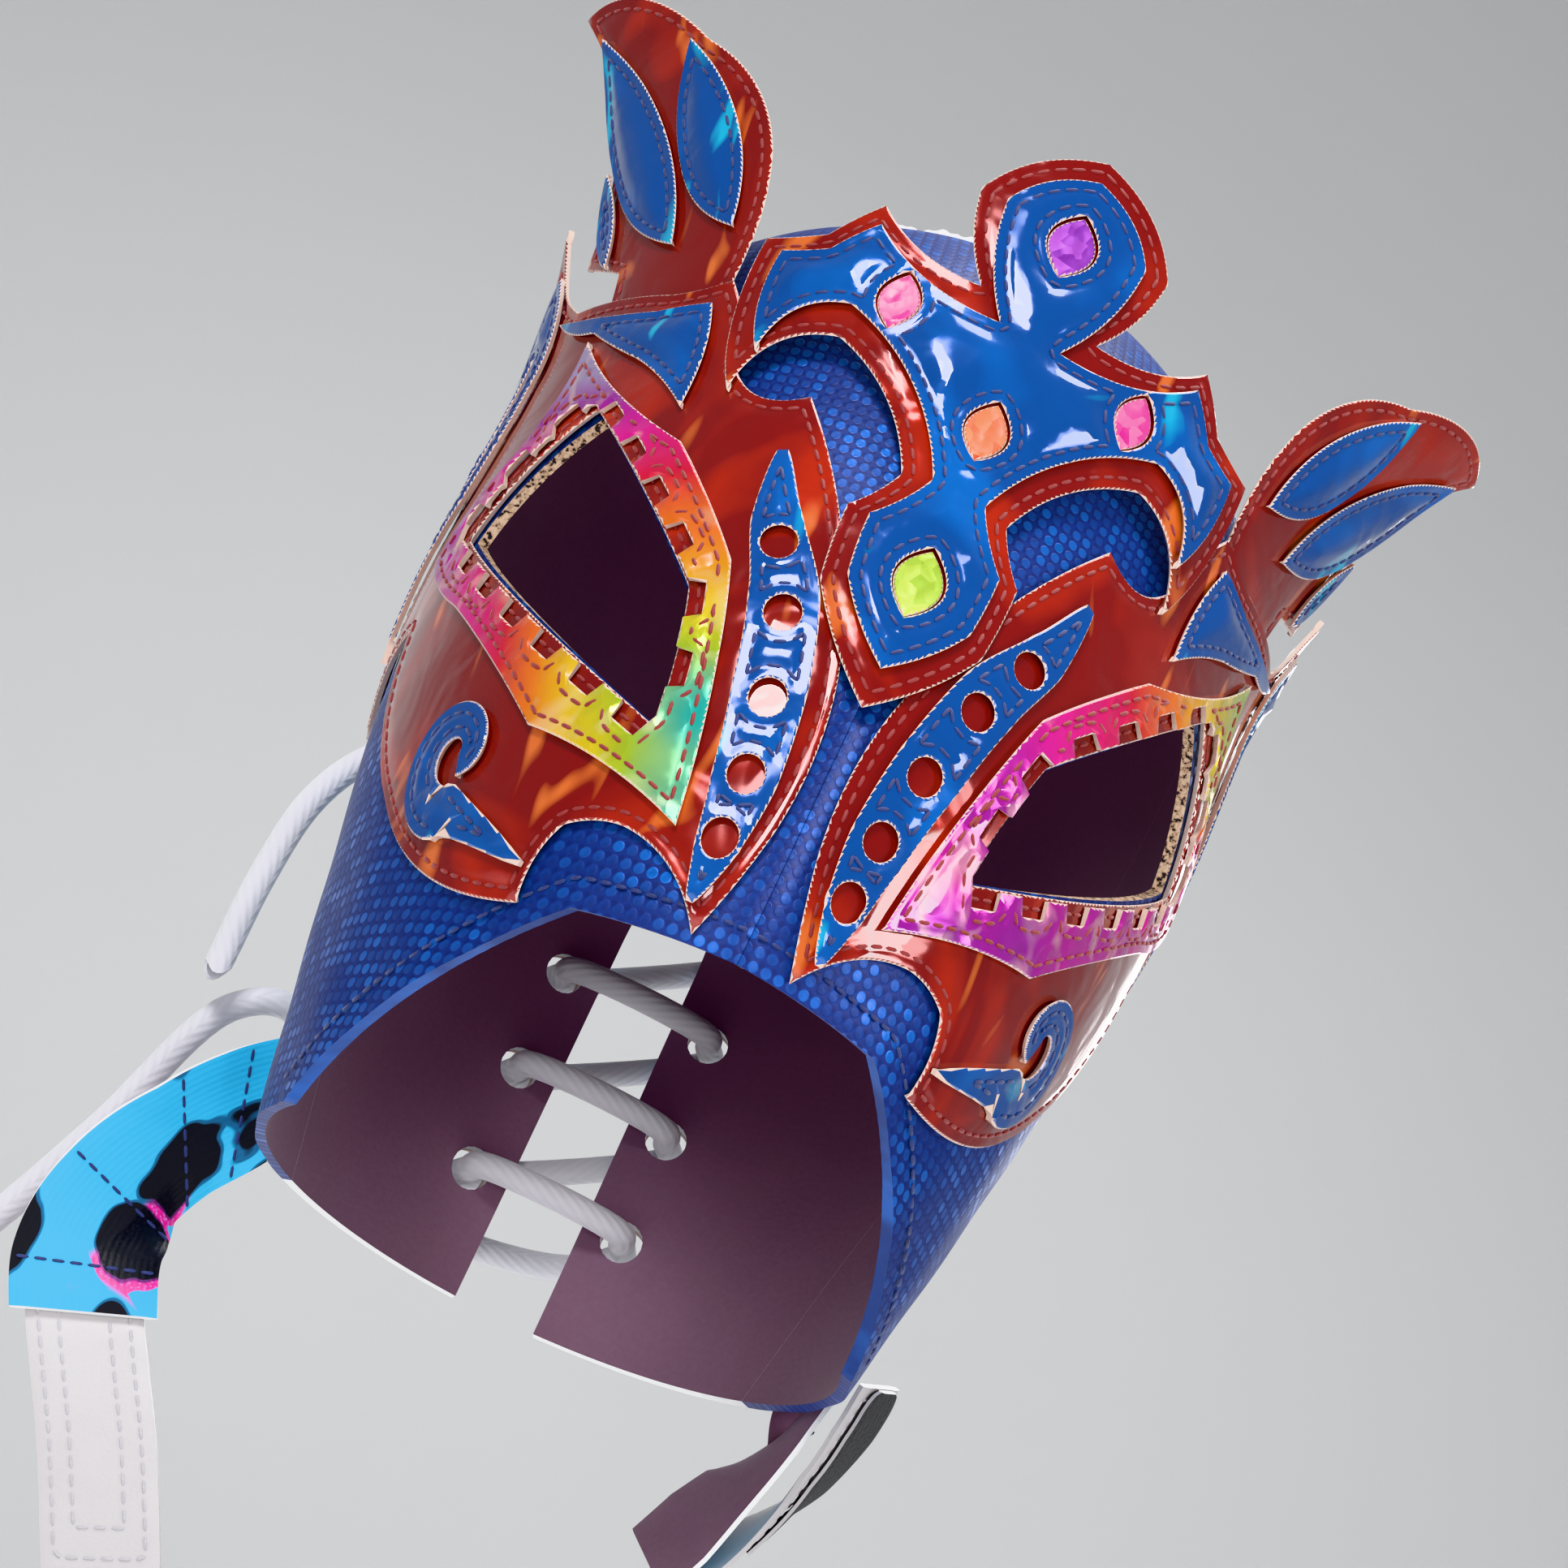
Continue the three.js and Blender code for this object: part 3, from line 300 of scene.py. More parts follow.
@finish("mauve_lining")
def lining(p):
    tone = p.noise(p.place(), 700.0, 3.0, 0.6)
    wide = p.noise(p.place(), 22.0, 2.0)
    base = p.mix(wide.between(0.35, 0.7) * 0.4, colours().lining, (0.13, 0.07, 0.12))
    p.set(base_color=p.mix(tone * 0.2, base, (0.34, 0.24, 0.30)), roughness=0.92, sheen_weight=0.1)
    p.bump(tone, 0.35, 0.0002)


@finish("{0}")
def vinyl(p, _name, main, glow, painted_highlight):
    where = p.place()
    wide = p.noise(where, 24.0, 2.0, 0.5, 1.6)
    fine = p.noise(where, 120.0, 2.0, 0.5, 0.8)
    # painted sheen: noisy patches lightened towards the sheen colour where the plates would catch the light;
    # metallic rises with it
    sheen = wide.between(0.50, 0.72) * (0.4 + 0.6 * fine)
    # painted highlight: long streaks of a bright highlight colour that stand in for highlight streaks on the glossy
    # vinyl
    painted_streak = p.noise(p.place((1, 1, 0.35)), 48.0, 1.0, 0.4, 2.6).between(0.64, 0.72)
    base = p.mix(sheen * 0.85, main, glow)
    base = p.mix(painted_streak * 0.55, base, painted_highlight)
    p.set(base_color=base, metallic=0.25 + 0.35 * sheen, roughness=0.10 + 0.08 * fine)
    p.set(coat_weight=1.0, coat_roughness=0.03)
    ripple = p.noise(where, 58.0, 2.0, 0.5, 0.6)
    p.bump(ripple, 0.6, 0.0022)


def red_vinyl():
    c = colours()
    # the last colour is the painted highlight of the red plates' streaks
    return vinyl("red_vinyl", c.red_vinyl, c.red_glow, (1.0, 0.26, 0.06))


def blue_vinyl():
    c = colours()
    # the last colour is the painted highlight of the blue plates' streaks, a teal glint
    return vinyl("blue_vinyl", c.blue_vinyl, c.blue_glow, (0.02, 0.62, 0.85))


@finish("cut_foam")
def cut_foam(p):
    grain = p.noise(p.place(), 1500.0, 3.0, 0.7)
    p.set(base_color=p.mix(grain, colours().cut_foam, (0.74, 0.60, 0.52)), roughness=0.85)
    p.bump(grain, 0.4, 0.00015)


@finish("layered_edge")
def layered_edge(p):
    layers = p.noise(p.place(), 1100.0, 2.0, 0.6)
    base = p.ramp(layers, (0.40, (0.02, 0.015, 0.02)), (0.47, (0.42, 0.27, 0.17)), (0.60, (0.62, 0.45, 0.32)))
    p.set(base_color=base, roughness=0.8)
    p.bump(layers, 0.5, 0.0003)


@finish("raw_white_edge")
def raw_edge(p):
    grain = p.noise(p.place(), 900.0, 4.0, 0.7)
    p.set(base_color=p.mix(grain, (0.70, 0.70, 0.72), (0.88, 0.88, 0.88)), roughness=0.9)
    p.bump(grain, 0.6, 0.0004)


@finish("white_vinyl")
def white_vinyl(p):
    grain = p.cells(p.place(), 1400.0, 1.0)
    soil = p.noise(p.place(), 45.0, 3.0, 0.6).between(0.45, 0.75)
    base = p.mix(soil * 0.3, colours().white_vinyl, (0.34, 0.32, 0.33))
    p.set(base_color=base, roughness=0.42 + 0.1 * grain, coat_weight=0.15, coat_roughness=0.3)
    p.bump(grain, 0.25, 0.00015)


@finish("lace_cloth")
def lace_cloth(p):
    flat = p.pattern()
    twill = p.node("ShaderNodeSeparateXYZ", {}, [p.pattern((2600, 2600, 1), 0.785)])
    rib = twill.sine() * 0.5 + 0.5
    fuzz = p.noise(p.place(), 1300.0, 3.0, 0.7)
    soil = p.noise(flat, 60.0, 2.0).between(0.4, 0.8)
    base = p.mix(soil * 0.3, colours().lace, (0.40, 0.39, 0.44))
    p.set(base_color=p.mix(rib * 0.15, base, (0.35, 0.35, 0.39)), roughness=0.9, sheen_weight=0.3)
    p.bump(rib + fuzz, 0.45, 0.00022)


@finish("rainbow_foil_{0}")
def rainbow_foil(p, _side):
    where = p.place()
    drift = p.noise(where, 34.0, 2.0, 0.5, 0.8)
    hue = p.attribute("hue") + 0.16 * (drift - 0.5)
    base = p.ramp(
        hue,
        (0.0, (0.03, 0.42, 0.36)),
        (0.13, (0.38, 0.52, 0.04)),
        (0.27, (0.80, 0.52, 0.02)),
        (0.42, (0.85, 0.20, 0.02)),
        (0.57, (0.66, 0.02, 0.05)),
        (0.74, (0.72, 0.02, 0.28)),
        (0.88, (0.34, 0.02, 0.32)),
        (1.0, (0.38, 0.28, 0.50)),
    )
    ring = p.cells(where, 150.0, 0.55).between(0.1, 0.5)
    # painted highlight: pale warm patches mixed into the foil where it would catch the light
    painted_highlight = p.noise(where, 85.0, 1.0, 0.4, 1.5).between(0.58, 0.72)
    base = p.mix(painted_highlight * 0.3, base, (1.0, 0.75, 0.5))
    p.set(base_color=base, metallic=0.45, roughness=0.12 + 0.1 * ring)
    p.set(coat_weight=1.0, coat_roughness=0.03)
    p.bump(ring + 1.5 * p.noise(where, 60.0, 1.0), 0.45, 0.0012)


@finish("window_foil_{0}")
def window_foil(p, _name, main, second):
    where = p.place()
    shard = p.node("ShaderNodeSeparateColor", {}, [p.cells(where, 420.0, 1.0, "Color")])
    mist = p.noise(where, 150.0, 2.0)
    p.set(base_color=p.mix(shard * 0.6 + mist * 0.3, main, second), metallic=0.5)
    p.set(roughness=0.25 + 0.25 * shard)
    p.bump(p.cells(where, 420.0, 1.0), 0.5, 0.0004)


@finish("clear_foil")
def clear_foil(p):
    where = p.place()
    drift = p.noise(where, 60.0, 2.0, 0.5, 1.2)
    base = p.ramp(
        drift,
        (0.3, (0.75, 0.78, 0.82)),
        (0.45, (0.60, 0.80, 0.72)),
        (0.55, (0.88, 0.88, 0.90)),
        (0.65, (0.86, 0.62, 0.72)),
        (0.8, (0.70, 0.72, 0.80)),
    )
    p.set(base_color=base, metallic=0.65, roughness=0.16, coat_weight=0.8, coat_roughness=0.05)
    p.bump(p.noise(where, 90.0, 2.0), 0.5, 0.0012)


@finish("hook_tape")
def hook_tape(p):
    fuzz = p.noise(p.place(), 1800.0, 3.0, 0.8)
    grid = p.cells(p.place(), 900.0, 0.4)
    p.set(base_color=p.mix(fuzz, colours().hook_tape, (0.05, 0.05, 0.055)), roughness=0.95)
    p.set(sheen_weight=0.08, sheen_roughness=0.5)
    p.bump(fuzz + grid, 1.0, 0.0006)


@finish("thread_{0}")
def thread(p, _name, tint):
    twist = p.noise(p.place(), 2500.0, 2.0)
    p.set(base_color=p.mix(twist * 0.4, tint, tuple(min(1.0, 2.2 * v + 0.03) for v in tint)))
    p.set(roughness=0.6, sheen_weight=0.3)
    p.bump(twist, 0.4, 0.0001)


@finish("pale_floor")
def floor_paint(p):
    tone = p.noise(p.place(), 6.0, 2.0)
    p.set(base_color=p.mix(tone * 0.2, colours().floor, (0.74, 0.74, 0.75)), roughness=0.75)


# The head's form, and flat patterns laid on it


def smooth_column(rows, column, size):
    """A smooth curve through one column of a table of sections that never overshoots its rows."""
    at = rows[:, 0] * HEAD["height"]
    value = rows[:, column] * size
    slope = np.diff(value) / np.diff(at)
    tangent = np.concatenate([slope[:1], np.zeros(len(at) - 2), slope[-1:]])
    for i in range(1, len(at) - 1):
        if slope[i - 1] * slope[i] > 0:
            tangent[i] = 2 * slope[i - 1] * slope[i] / (slope[i - 1] + slope[i])

    def curve(x):
        i = np.clip(np.searchsorted(at, x, side="left") - 1, 0, len(at) - 2)
        step = at[i + 1] - at[i]
        s = np.clip((x - at[i]) / step, 0, 1)
        rise = s * s * (3 - 2 * s)
        bend = tangent[i] * s * (1 - s) ** 2 - tangent[i + 1] * s * s * (1 - s)
        return value[i] * (1 - rise) + value[i + 1] * rise + step * bend

    return curve


class Form:
    """A surface round the head, from sections (drop, side, face, nape) in shares of the head."""

    def __init__(self, rows, open_top=False):
        rows = np.array(rows, float)
        self.side = smooth_column(rows, 1, HEAD["side"])
        self.face = smooth_column(rows, 2, HEAD["face"])
        self.nape = smooth_column(rows, 3, HEAD["nape"])
        self.open_top = open_top

    def bare(self, turn, drop):
        depth = np.where(np.cos(turn) > 0, self.face(drop), self.nape(drop))
        return np.stack([self.side(drop) * np.sin(turn), -depth * np.cos(turn), -drop], -1)

    def at_turn(self, turn, drop, out):
        """Points at turns round the head and drops below the crown, in metres."""
        turn, drop, out = np.broadcast_arrays(*(np.asarray(v, float) for v in (turn, drop, out)))
        round_ = self.bare(turn + 0.01, drop) - self.bare(turn - 0.01, drop)
        down = self.bare(turn, drop + 0.4) - self.bare(turn, drop - 0.4)
        normal = np.cross(down, round_)
        normal /= np.maximum(np.linalg.norm(normal, axis=-1, keepdims=True), 1e-9)
        if not self.open_top:
            normal[drop <= 0.4] = (0, 0, 1)
        at = self.bare(turn, drop) + normal * out[..., None]
        return (at + (0, 0, LIFT)) * MM

    def __call__(self, flat, out):
        """Points of a flat pattern laid on the form."""
        return self.at_turn(flat[..., 0] / WRAP, flat[..., 1], out)


HEAD_FORM = Form([
    (0, 0, 0, 0), (0.009, 0.267, 0.244, 0.28), (0.04, 0.533, 0.487, 0.54), (0.099, 0.76, 0.67, 0.74),
    (0.188, 0.92, 0.812, 0.9), (0.305, 0.987, 0.89, 0.98), (0.44, 1, 0.955, 1), (0.574, 0.965, 1, 0.96),
    (0.709, 0.89, 1, 0.88), (0.843, 0.81, 0.914, 0.8), (1, 0.71, 0.69, 0.74),
])
# Stiff plates do not bend over the crown: above the brow they stand up and flare out.
PLATE_FORM = Form([
    (-0.09, 1.47, 0.86, 1.1), (0.04, 1.22, 0.872, 1.05), (0.19, 1.055, 0.888, 1), (0.305, 1.004, 0.905, 0.99),
    (0.39, 1.002, 0.935, 1), (0.44, 1, 0.955, 1), (0.574, 0.965, 1, 0.96), (0.709, 0.89, 1, 0.88),
    (0.843, 0.81, 0.914, 0.8), (1, 0.71, 0.69, 0.74),
], open_top=True)


def turning(loop):
    """1 for a loop that runs one way round, and -1 for the other."""
    after = np.roll(loop, -1, axis=0)
    return 1 if np.sum(loop[:, 0] * after[:, 1] - after[:, 0] * loop[:, 1]) > 0 else -1


def bowed(corners, step=1.1):
    """A closed outline from corners (across, down, bow). Each side bows by a share of its length."""
    ends = np.array([corner[:2] for corner in corners], float)
    sign = turning(ends)
    pieces = []
    for i, start in enumerate(ends):
        side = ends[(i + 1) % len(ends)] - start
        away = np.array([side[1], -side[0]]) * sign * 4 * corners[i][2]
        s = np.arange(max(1, math.ceil(np.hypot(*side) / step)))[:, None]
        s = s / len(s)
        pieces.append(start + side * s + away * s * (1 - s))
    return np.concatenate(pieces)


def framed(rows, box):
    """Corners given as shares of a box (left, wide, top, tall) of the flat pattern."""
    left, wide, top, tall = box
    return [(left + a * wide, top + d * tall, bow) for a, d, bow in rows]


def inset(loop, distance):
    """The loop pulled in by a distance, corner by corner."""
    before = loop - np.roll(loop, 1, axis=0)
    after = np.roll(loop, -1, axis=0) - loop
    before /= np.linalg.norm(before, axis=1, keepdims=True)
    after /= np.linalg.norm(after, axis=1, keepdims=True)
    half = np.stack([-(before[:, 1] + after[:, 1]), before[:, 0] + after[:, 0]], 1)
    half /= np.linalg.norm(half, axis=1, keepdims=True)
    slant = np.maximum(0.5, np.sum(half * np.stack([-before[:, 1], before[:, 0]], 1), axis=1))
    return loop + half * (turning(loop) * distance / slant)[:, None]


def ring(centre, radius, steps=28):
    angle = 2 * np.pi * np.arange(steps) / steps
    return np.stack([centre[0] + radius * np.cos(angle), centre[1] + radius * np.sin(angle)], 1)


def spline_point(points, share):
    """A point of the smooth curve through flat points."""
    last = len(points) - 1
    at = share * last
    i = min(int(at), last - 1) if share < 1 else last
    t = at - i
    p0, p1 = points[max(i - 1, 0)], points[i]
    p2, p3 = points[min(i + 1, last)], points[min(i + 2, last)]
    v0, v1 = (p2 - p0) / 2, (p3 - p1) / 2
    return (2 * p1 - 2 * p2 + v0 + v1) * t**3 + (3 * p2 - 3 * p1 - 2 * v0 - v1) * t**2 + v0 * t + p1


def strip_loop(points, steps, half_width):
    """A strip of changing width on both sides of a flat curve."""
    left, right = [], []
    for k in range(steps + 1):
        share = k / steps
        along = spline_point(points, min(1, share + 1e-3)) - spline_point(points, max(0, share - 1e-3))
        along /= np.hypot(*along)
        side = np.array([-along[1], along[0]]) * half_width(share)
        middle = spline_point(points, share)
        left.append(middle + side)
        if half_width(share) > 0.05:
            right.insert(0, middle - side)
    return np.array(left + right)


def segments(loops):
    return np.concatenate(loops), np.concatenate([np.roll(loop, -1, axis=0) for loop in loops])


def edge_distance(points, loops):
    """The distance from each flat point to the nearest edge."""
    start, end = segments(loops)
    side = end - start
    square = np.maximum(np.sum(side**2, axis=1), 1e-12)
    nearest = np.full(len(points), np.inf)
    for first in range(0, len(points), 2000):
        away = points[first : first + 2000, None, :] - start[None]
        s = np.clip(np.sum(away * side[None], axis=2) / square, 0, 1)
        gap = away - s[..., None] * side[None]
        nearest[first : first + 2000] = np.sqrt(np.min(np.sum(gap**2, axis=2), axis=1))
    return nearest


def inside(points, loops):
    start, end = segments(loops)
    flags = np.zeros(len(points), bool)
    for first in range(0, len(points), 2000):
        x, y = points[first : first + 2000, 0, None], points[first : first + 2000, 1, None]
        spans = (start[:, 1] > y) != (end[:, 1] > y)
        rise = np.where(end[:, 1] == start[:, 1], 1e-9, end[:, 1] - start[:, 1])
        crosses = x < start[:, 0] + (end[:, 0] - start[:, 0]) * (y - start[:, 1]) / rise
        flags[first : first + 2000] = np.sum(spans & crosses, axis=1) % 2 == 1
    return flags


def side_normals(loop):
    along = np.roll(loop, -1, axis=0) - np.roll(loop, 1, axis=0)
    along /= np.maximum(np.linalg.norm(along, axis=1, keepdims=True), 1e-9)
    return np.stack([-along[:, 1], along[:, 0]], 1)


def flat_mesh(loops, step, rings):
    """Flat triangles of an outline with holes: rings of points beside the edges, an even field within."""
    near = [np.concatenate(loops)]
    for depth in rings:
        beside = np.concatenate([loop + s * depth * side_normals(loop) for loop in loops for s in (1, -1)])
        kept = inside(beside, loops) & (edge_distance(beside, loops) > 0.96 * depth)
        near.append(beside[kept])
    low, high = near[0].min(axis=0), near[0].max(axis=0)
    rows = np.arange(low[1], high[1], step * 0.866)
    columns = [np.arange(low[0] + (k % 2) * step / 2, high[0], step) for k in range(len(rows))]
    field = np.concatenate([np.column_stack([x, np.full(len(x), y)]) for x, y in zip(columns, rows)])
    kept = inside(field, loops) & (edge_distance(field, loops) > rings[-1] + 0.5 * step)
    points = np.concatenate([*near, field[kept]])
    links, first = [], 0
    for loop in loops:
        links += [(first + k, first + (k + 1) % len(loop)) for k in range(len(loop))]
        first += len(loop)
    made = delaunay_2d_cdt([Vector(p) for p in points], links, [], 0, 1e-6)
    points = np.array([tuple(p) for p in made[0]])
    faces = np.array([face for face in made[2] if len(face) == 3])
    faces = faces[inside(points[faces].mean(axis=1), loops)]
    return points, faces


# Pieces


def only(piece):
    """Select one piece alone, so that an operator acts on nothing else."""
    bpy.ops.object.select_all(action="DESELECT")
    piece.select_set(True)
    bpy.context.view_layer.objects.active = piece


def apply_modifiers(piece):
    only(piece)
    for name in [modifier.name for modifier in piece.modifiers]:
        bpy.ops.object.modifier_apply(modifier=name)


def smooth(piece, degrees=35):
    only(piece)
    bpy.ops.object.shade_smooth_by_angle(angle=math.radians(degrees), keep_sharp_edges=True)


def recalculate(piece, weld=0.0):
    """Turn all normals outward, after points nearer than the weld distance are joined."""
    only(piece)
    bpy.ops.object.mode_set(mode="EDIT")
    bpy.ops.mesh.select_all(action="SELECT")
    if weld:
        bpy.ops.mesh.remove_doubles(threshold=weld)
    bpy.ops.mesh.normals_make_consistent(inside=False)
    bpy.ops.object.mode_set(mode="OBJECT")


def mesh_piece(name, points, faces, finishes_, flat=None, slots=None, values=None):
    """A mesh from points and faces, its flat pattern as a UV map, and its finishes."""
    mesh = bpy.data.meshes.new(name)
    mesh.from_pydata([tuple(p) for p in np.asarray(points, float)], [], [tuple(map(int, f)) for f in faces])
    for material in finishes_:
        mesh.materials.append(material)
    if slots is not None:
        mesh.polygons.foreach_set("material_index", np.asarray(slots, np.int32))
    if flat is not None:
        corner = np.empty(len(mesh.loops), np.int32)
        mesh.loops.foreach_get("vertex_index", corner)
        layer = mesh.uv_layers.new(name="pattern")
        layer.data.foreach_set("uv", np.asarray(flat, float)[corner].ravel())
    for key, value in (values or {}).items():
        mesh.attributes.new(key, "FLOAT", "POINT").data.foreach_set("value", np.asarray(value, np.float32))
    mesh.update()
    piece = bpy.data.objects.new(name, mesh)
    bpy.context.scene.collection.objects.link(piece)
    return piece


def keep(piece, slot, *nodes):
    """The piece rides with the mask and stands for its CAD nodes. The slot is not used."""
    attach(piece, "root")
    if nodes:
        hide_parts(*nodes)
    return piece


def mirrored(points, faces):
    return points * (-1, 1, 1), [tuple(face)[::-1] for face in faces]


SIDES = {"right": False, "left": True}


def facing_out(points, faces, outward):
    """Faces turned so that their normals run with the outward direction."""
    a, b, c = (points[faces[:, k]] for k in range(3))
    normal = np.cross(b - a, c - a)
    wrong = np.sum(normal * outward, axis=1) < 0
    faces[wrong] = faces[wrong][:, ::-1]
    return faces


def soft_step(x, low, high):
    s = np.clip((x - low) / (high - low), 0, 1)
    return s * s * (3 - 2 * s)


def sheet_of(loops, place, high, puff, step):
    """The outer skin of a stitched sheet: a rounded cut edge, a groove under the stitches, a swelling."""
    edge = sizes().cut_edge / MM
    seam = sizes().stitch_inset / MM
    flat, faces = flat_mesh(loops, step, (edge, 0.5 * (edge + seam), seam, seam + 1.0))
    depth = edge_distance(flat, loops)
    out = high - 0.3 * (1 - soft_step(depth, 0, edge))
    out += puff / MM * soft_step(depth, seam, seam + 4.5)
    out -= 0.22 * np.exp(-(((depth - seam) / 0.55) ** 2))
    points = place(flat, out)
    middle = flat[faces].mean(axis=1)
    outward = place(middle, high + 1) - place(middle, high)
    faces = facing_out(points, faces, outward)
    rim = (depth[faces].mean(axis=1) < 0.62 * edge).astype(int)
    return {"flat": flat, "faces": faces, "points": points, "rim": rim, "depth": depth}


def stitch_template():
    """A short thread with tapered ends, one unit long, lying along x."""
    rings = [(-0.5, 0.35), (-0.32, 1.0), (0.32, 1.0), (0.5, 0.35)]
    sides = 6
    points = [
        (x, r * math.cos(2 * math.pi * k / sides), r * math.sin(2 * math.pi * k / sides))
        for x, r in rings
        for k in range(sides)
    ]
    faces = [
        (i * sides + k, (i + 1) * sides + k, (i + 1) * sides + (k + 1) % sides, i * sides + (k + 1) % sides)
        for i in range(len(rings) - 1)
        for k in range(sides)
    ]
    faces.append(tuple(range(sides)))
    faces.append(tuple((len(rings) - 1) * sides + k for k in reversed(range(sides))))
    return np.array(points), faces


STITCH_POINTS, STITCH_FACES = stitch_template()


def seam_path(loops, depth):
    """Runs of points that lie evenly inside an outline, for a seam beside its cut edge."""
    runs = []
    for loop in loops:
        count = len(loop)
        fine = np.concatenate([
            loop[i] + (loop[(i + 1) % count] - loop[i]) * np.arange(4)[:, None] / 4 for i in range(count)
        ])
        for s in (1, -1):
            line = fine + s * depth * side_normals(fine)
            good = inside(line, loops) & (edge_distance(line, loops) > 0.93 * depth)
            if not good.any():
                continue
            start = int(np.argmin(good)) if not good.all() else 0
            order = np.roll(np.arange(len(line)), -start)
            run = []
            for k in order:
                if good[k] and (not run or np.hypot(*(line[k] - run[-1])) < 2.5):
                    run.append(line[k])
                else:
                    if len(run) > 6:
                        runs.append(np.array(run))
                    run = [line[k]] if good[k] else []
            if len(run) > 6:
                if good.all():
                    run.append(run[0])
                runs.append(np.array(run))
    return runs


def stitch_marks(runs):
    """Where each stitch of a seam starts and ends."""
    pitch = sizes().stitch_pitch / MM
    marks = []
    for run in runs:
        gone = np.concatenate([[0], np.cumsum(np.hypot(*np.diff(run, axis=0).T))])
        count = max(1, round(gone[-1] / pitch))
        step = gone[-1] / count
        for k in range(count):
            ends = [np.interp(step * (k + s), gone, run[:, axis]) for s in (0.14, 0.86) for axis in (0, 1)]
            marks.append(ends)
    return np.array(marks)


def stitches(name, runs, place, out, tint, sides=("right", "left")):
    """Real stitches, half sunk in the sheet they hold."""
    marks = stitch_marks(runs)
    if not len(marks):
        return
    start, end = place(marks[:, :2], out), place(marks[:, 2:], out)
    middle = (marks[:, :2] + marks[:, 2:]) / 2
    normal = place(middle, out + 1) - place(middle, out)
    normal /= np.linalg.norm(normal, axis=1, keepdims=True)
    along = end - start
    length = np.linalg.norm(along, axis=1, keepdims=True)
    along /= length
    across = np.cross(normal, along)
    radius = sizes().stitch_radius
    centre = (start + end) / 2
    points = (
        centre[:, None]
        + STITCH_POINTS[None, :, :1] * length[:, None] * along[:, None]
        + STITCH_POINTS[None, :, 1:2] * radius * across[:, None]
        + STITCH_POINTS[None, :, 2:] * radius * 0.8 * normal[:, None]
    ).reshape(-1, 3)
    count = len(STITCH_POINTS)
    faces = [tuple(k * count + v for v in face) for k in range(len(marks)) for face in STITCH_FACES]
    for side in sides:
        p, f = mirrored(points, faces) if SIDES[side] else (points, faces)
        piece = mesh_piece(f"{name}_{side}" if len(sides) > 1 else name, p, f, [thread(*thread_tints()[tint])])
        recalculate(piece)
        smooth(piece, 60)
        keep(piece, None)


def thread_tints():
    """The threads' names with their colours."""
    c = colours()
    return {
        "navy": ("navy", tuple(c.navy_thread)), "red": ("red", tuple(c.red_thread)),
        "white": ("white", (0.8, 0.8, 0.82)), "grey": ("grey", (0.30, 0.29, 0.31)),
    }


def along_corners(corners, count=400):
    """A run of points, the same number of them on each side between the corners."""
    share = np.linspace(0, len(corners) - 1, count)
    return np.column_stack([np.interp(share, range(len(corners)), corners[:, axis]) for axis in (0, 1)])


def stitched_plate(
    name, loops, place, low, high, face, slot, tint, puff=0.0, step=1.9, sides=("right", "left"), values=None,
    seam=True,
):
    """A sheet of vinyl or foil with a pale cut edge, sewn down beside its edge."""
    skin = sheet_of(loops, place, high, puff, step)
    for side in sides:
        points, faces = mirrored(skin["points"], skin["faces"]) if SIDES[side] else (skin["points"], skin["faces"])
        title = f"{name}_{side}" if len(sides) > 1 else name
        extra = {key: value(skin["flat"], side) for key, value in (values or {}).items()}
        front = face[side] if isinstance(face, dict) else face
        kind = slot.split("_")[-1]
        flat = skin["flat"] * MM
        piece = mesh_piece(f"{title}_{kind}", points, faces, [front, cut_foam()], flat, skin["rim"], extra)
        wall = piece.modifiers.new("thickness", "SOLIDIFY")
        wall.thickness = (high - low) * MM
        wall.offset = -1
        wall.material_offset_rim = 1
        apply_modifiers(piece)
        smooth(piece)
        keep(piece, slot, title)
    if seam:
        runs = seam_path(loops, sizes().stitch_inset / MM)
        stitches(f"{name}_stitches", runs, place, high - 0.1, tint, sides)


def blue_plate(name, loops, layer, puff, **more):
    """A plate of blue vinyl, puffed by a share of the common puff and sewn with navy thread."""
    puff *= sizes().puff
    stitched_plate(name, loops, PLATE_FORM, *layer, blue_vinyl(), "blue_vinyl", "navy", puff=puff, **more)


def red_plate(name, loops, layer, **more):
    """A plate of red vinyl, sewn with red thread."""
    stitched_plate(name, loops, PLATE_FORM, *layer, red_vinyl(), "red_vinyl", "red", **more)


def wall_faces(columns, rows):
    """Faces of a closed wall on a grid, and which of them are the inner skin (2) or a rim (1)."""
    def spot(i, j, side):
        return (side * (columns + 1) + i) * (rows + 1) + j

    faces, parts = [], []
    for i in range(columns):
        for j in range(rows):
            faces.append((spot(i, j, 1), spot(i, j + 1, 1), spot(i + 1, j + 1, 1), spot(i + 1, j, 1)))
            faces.append((spot(i, j, 0), spot(i + 1, j, 0), spot(i + 1, j + 1, 0), spot(i, j + 1, 0)))
            parts += [0, 2]
        faces.append((spot(i, 0, 1), spot(i + 1, 0, 1), spot(i + 1, 0, 0), spot(i, 0, 0)))
        faces.append((spot(i, rows, 0), spot(i + 1, rows, 0), spot(i + 1, rows, 1), spot(i, rows, 1)))
        parts += [1, 1]
    for j in range(rows):
        faces.append((spot(0, j, 0), spot(0, j + 1, 0), spot(0, j + 1, 1), spot(0, j, 1)))
        faces.append((spot(columns, j, 1), spot(columns, j + 1, 1), spot(columns, j + 1, 0), spot(columns, j, 0)))
        parts += [1, 1]
    return faces, parts


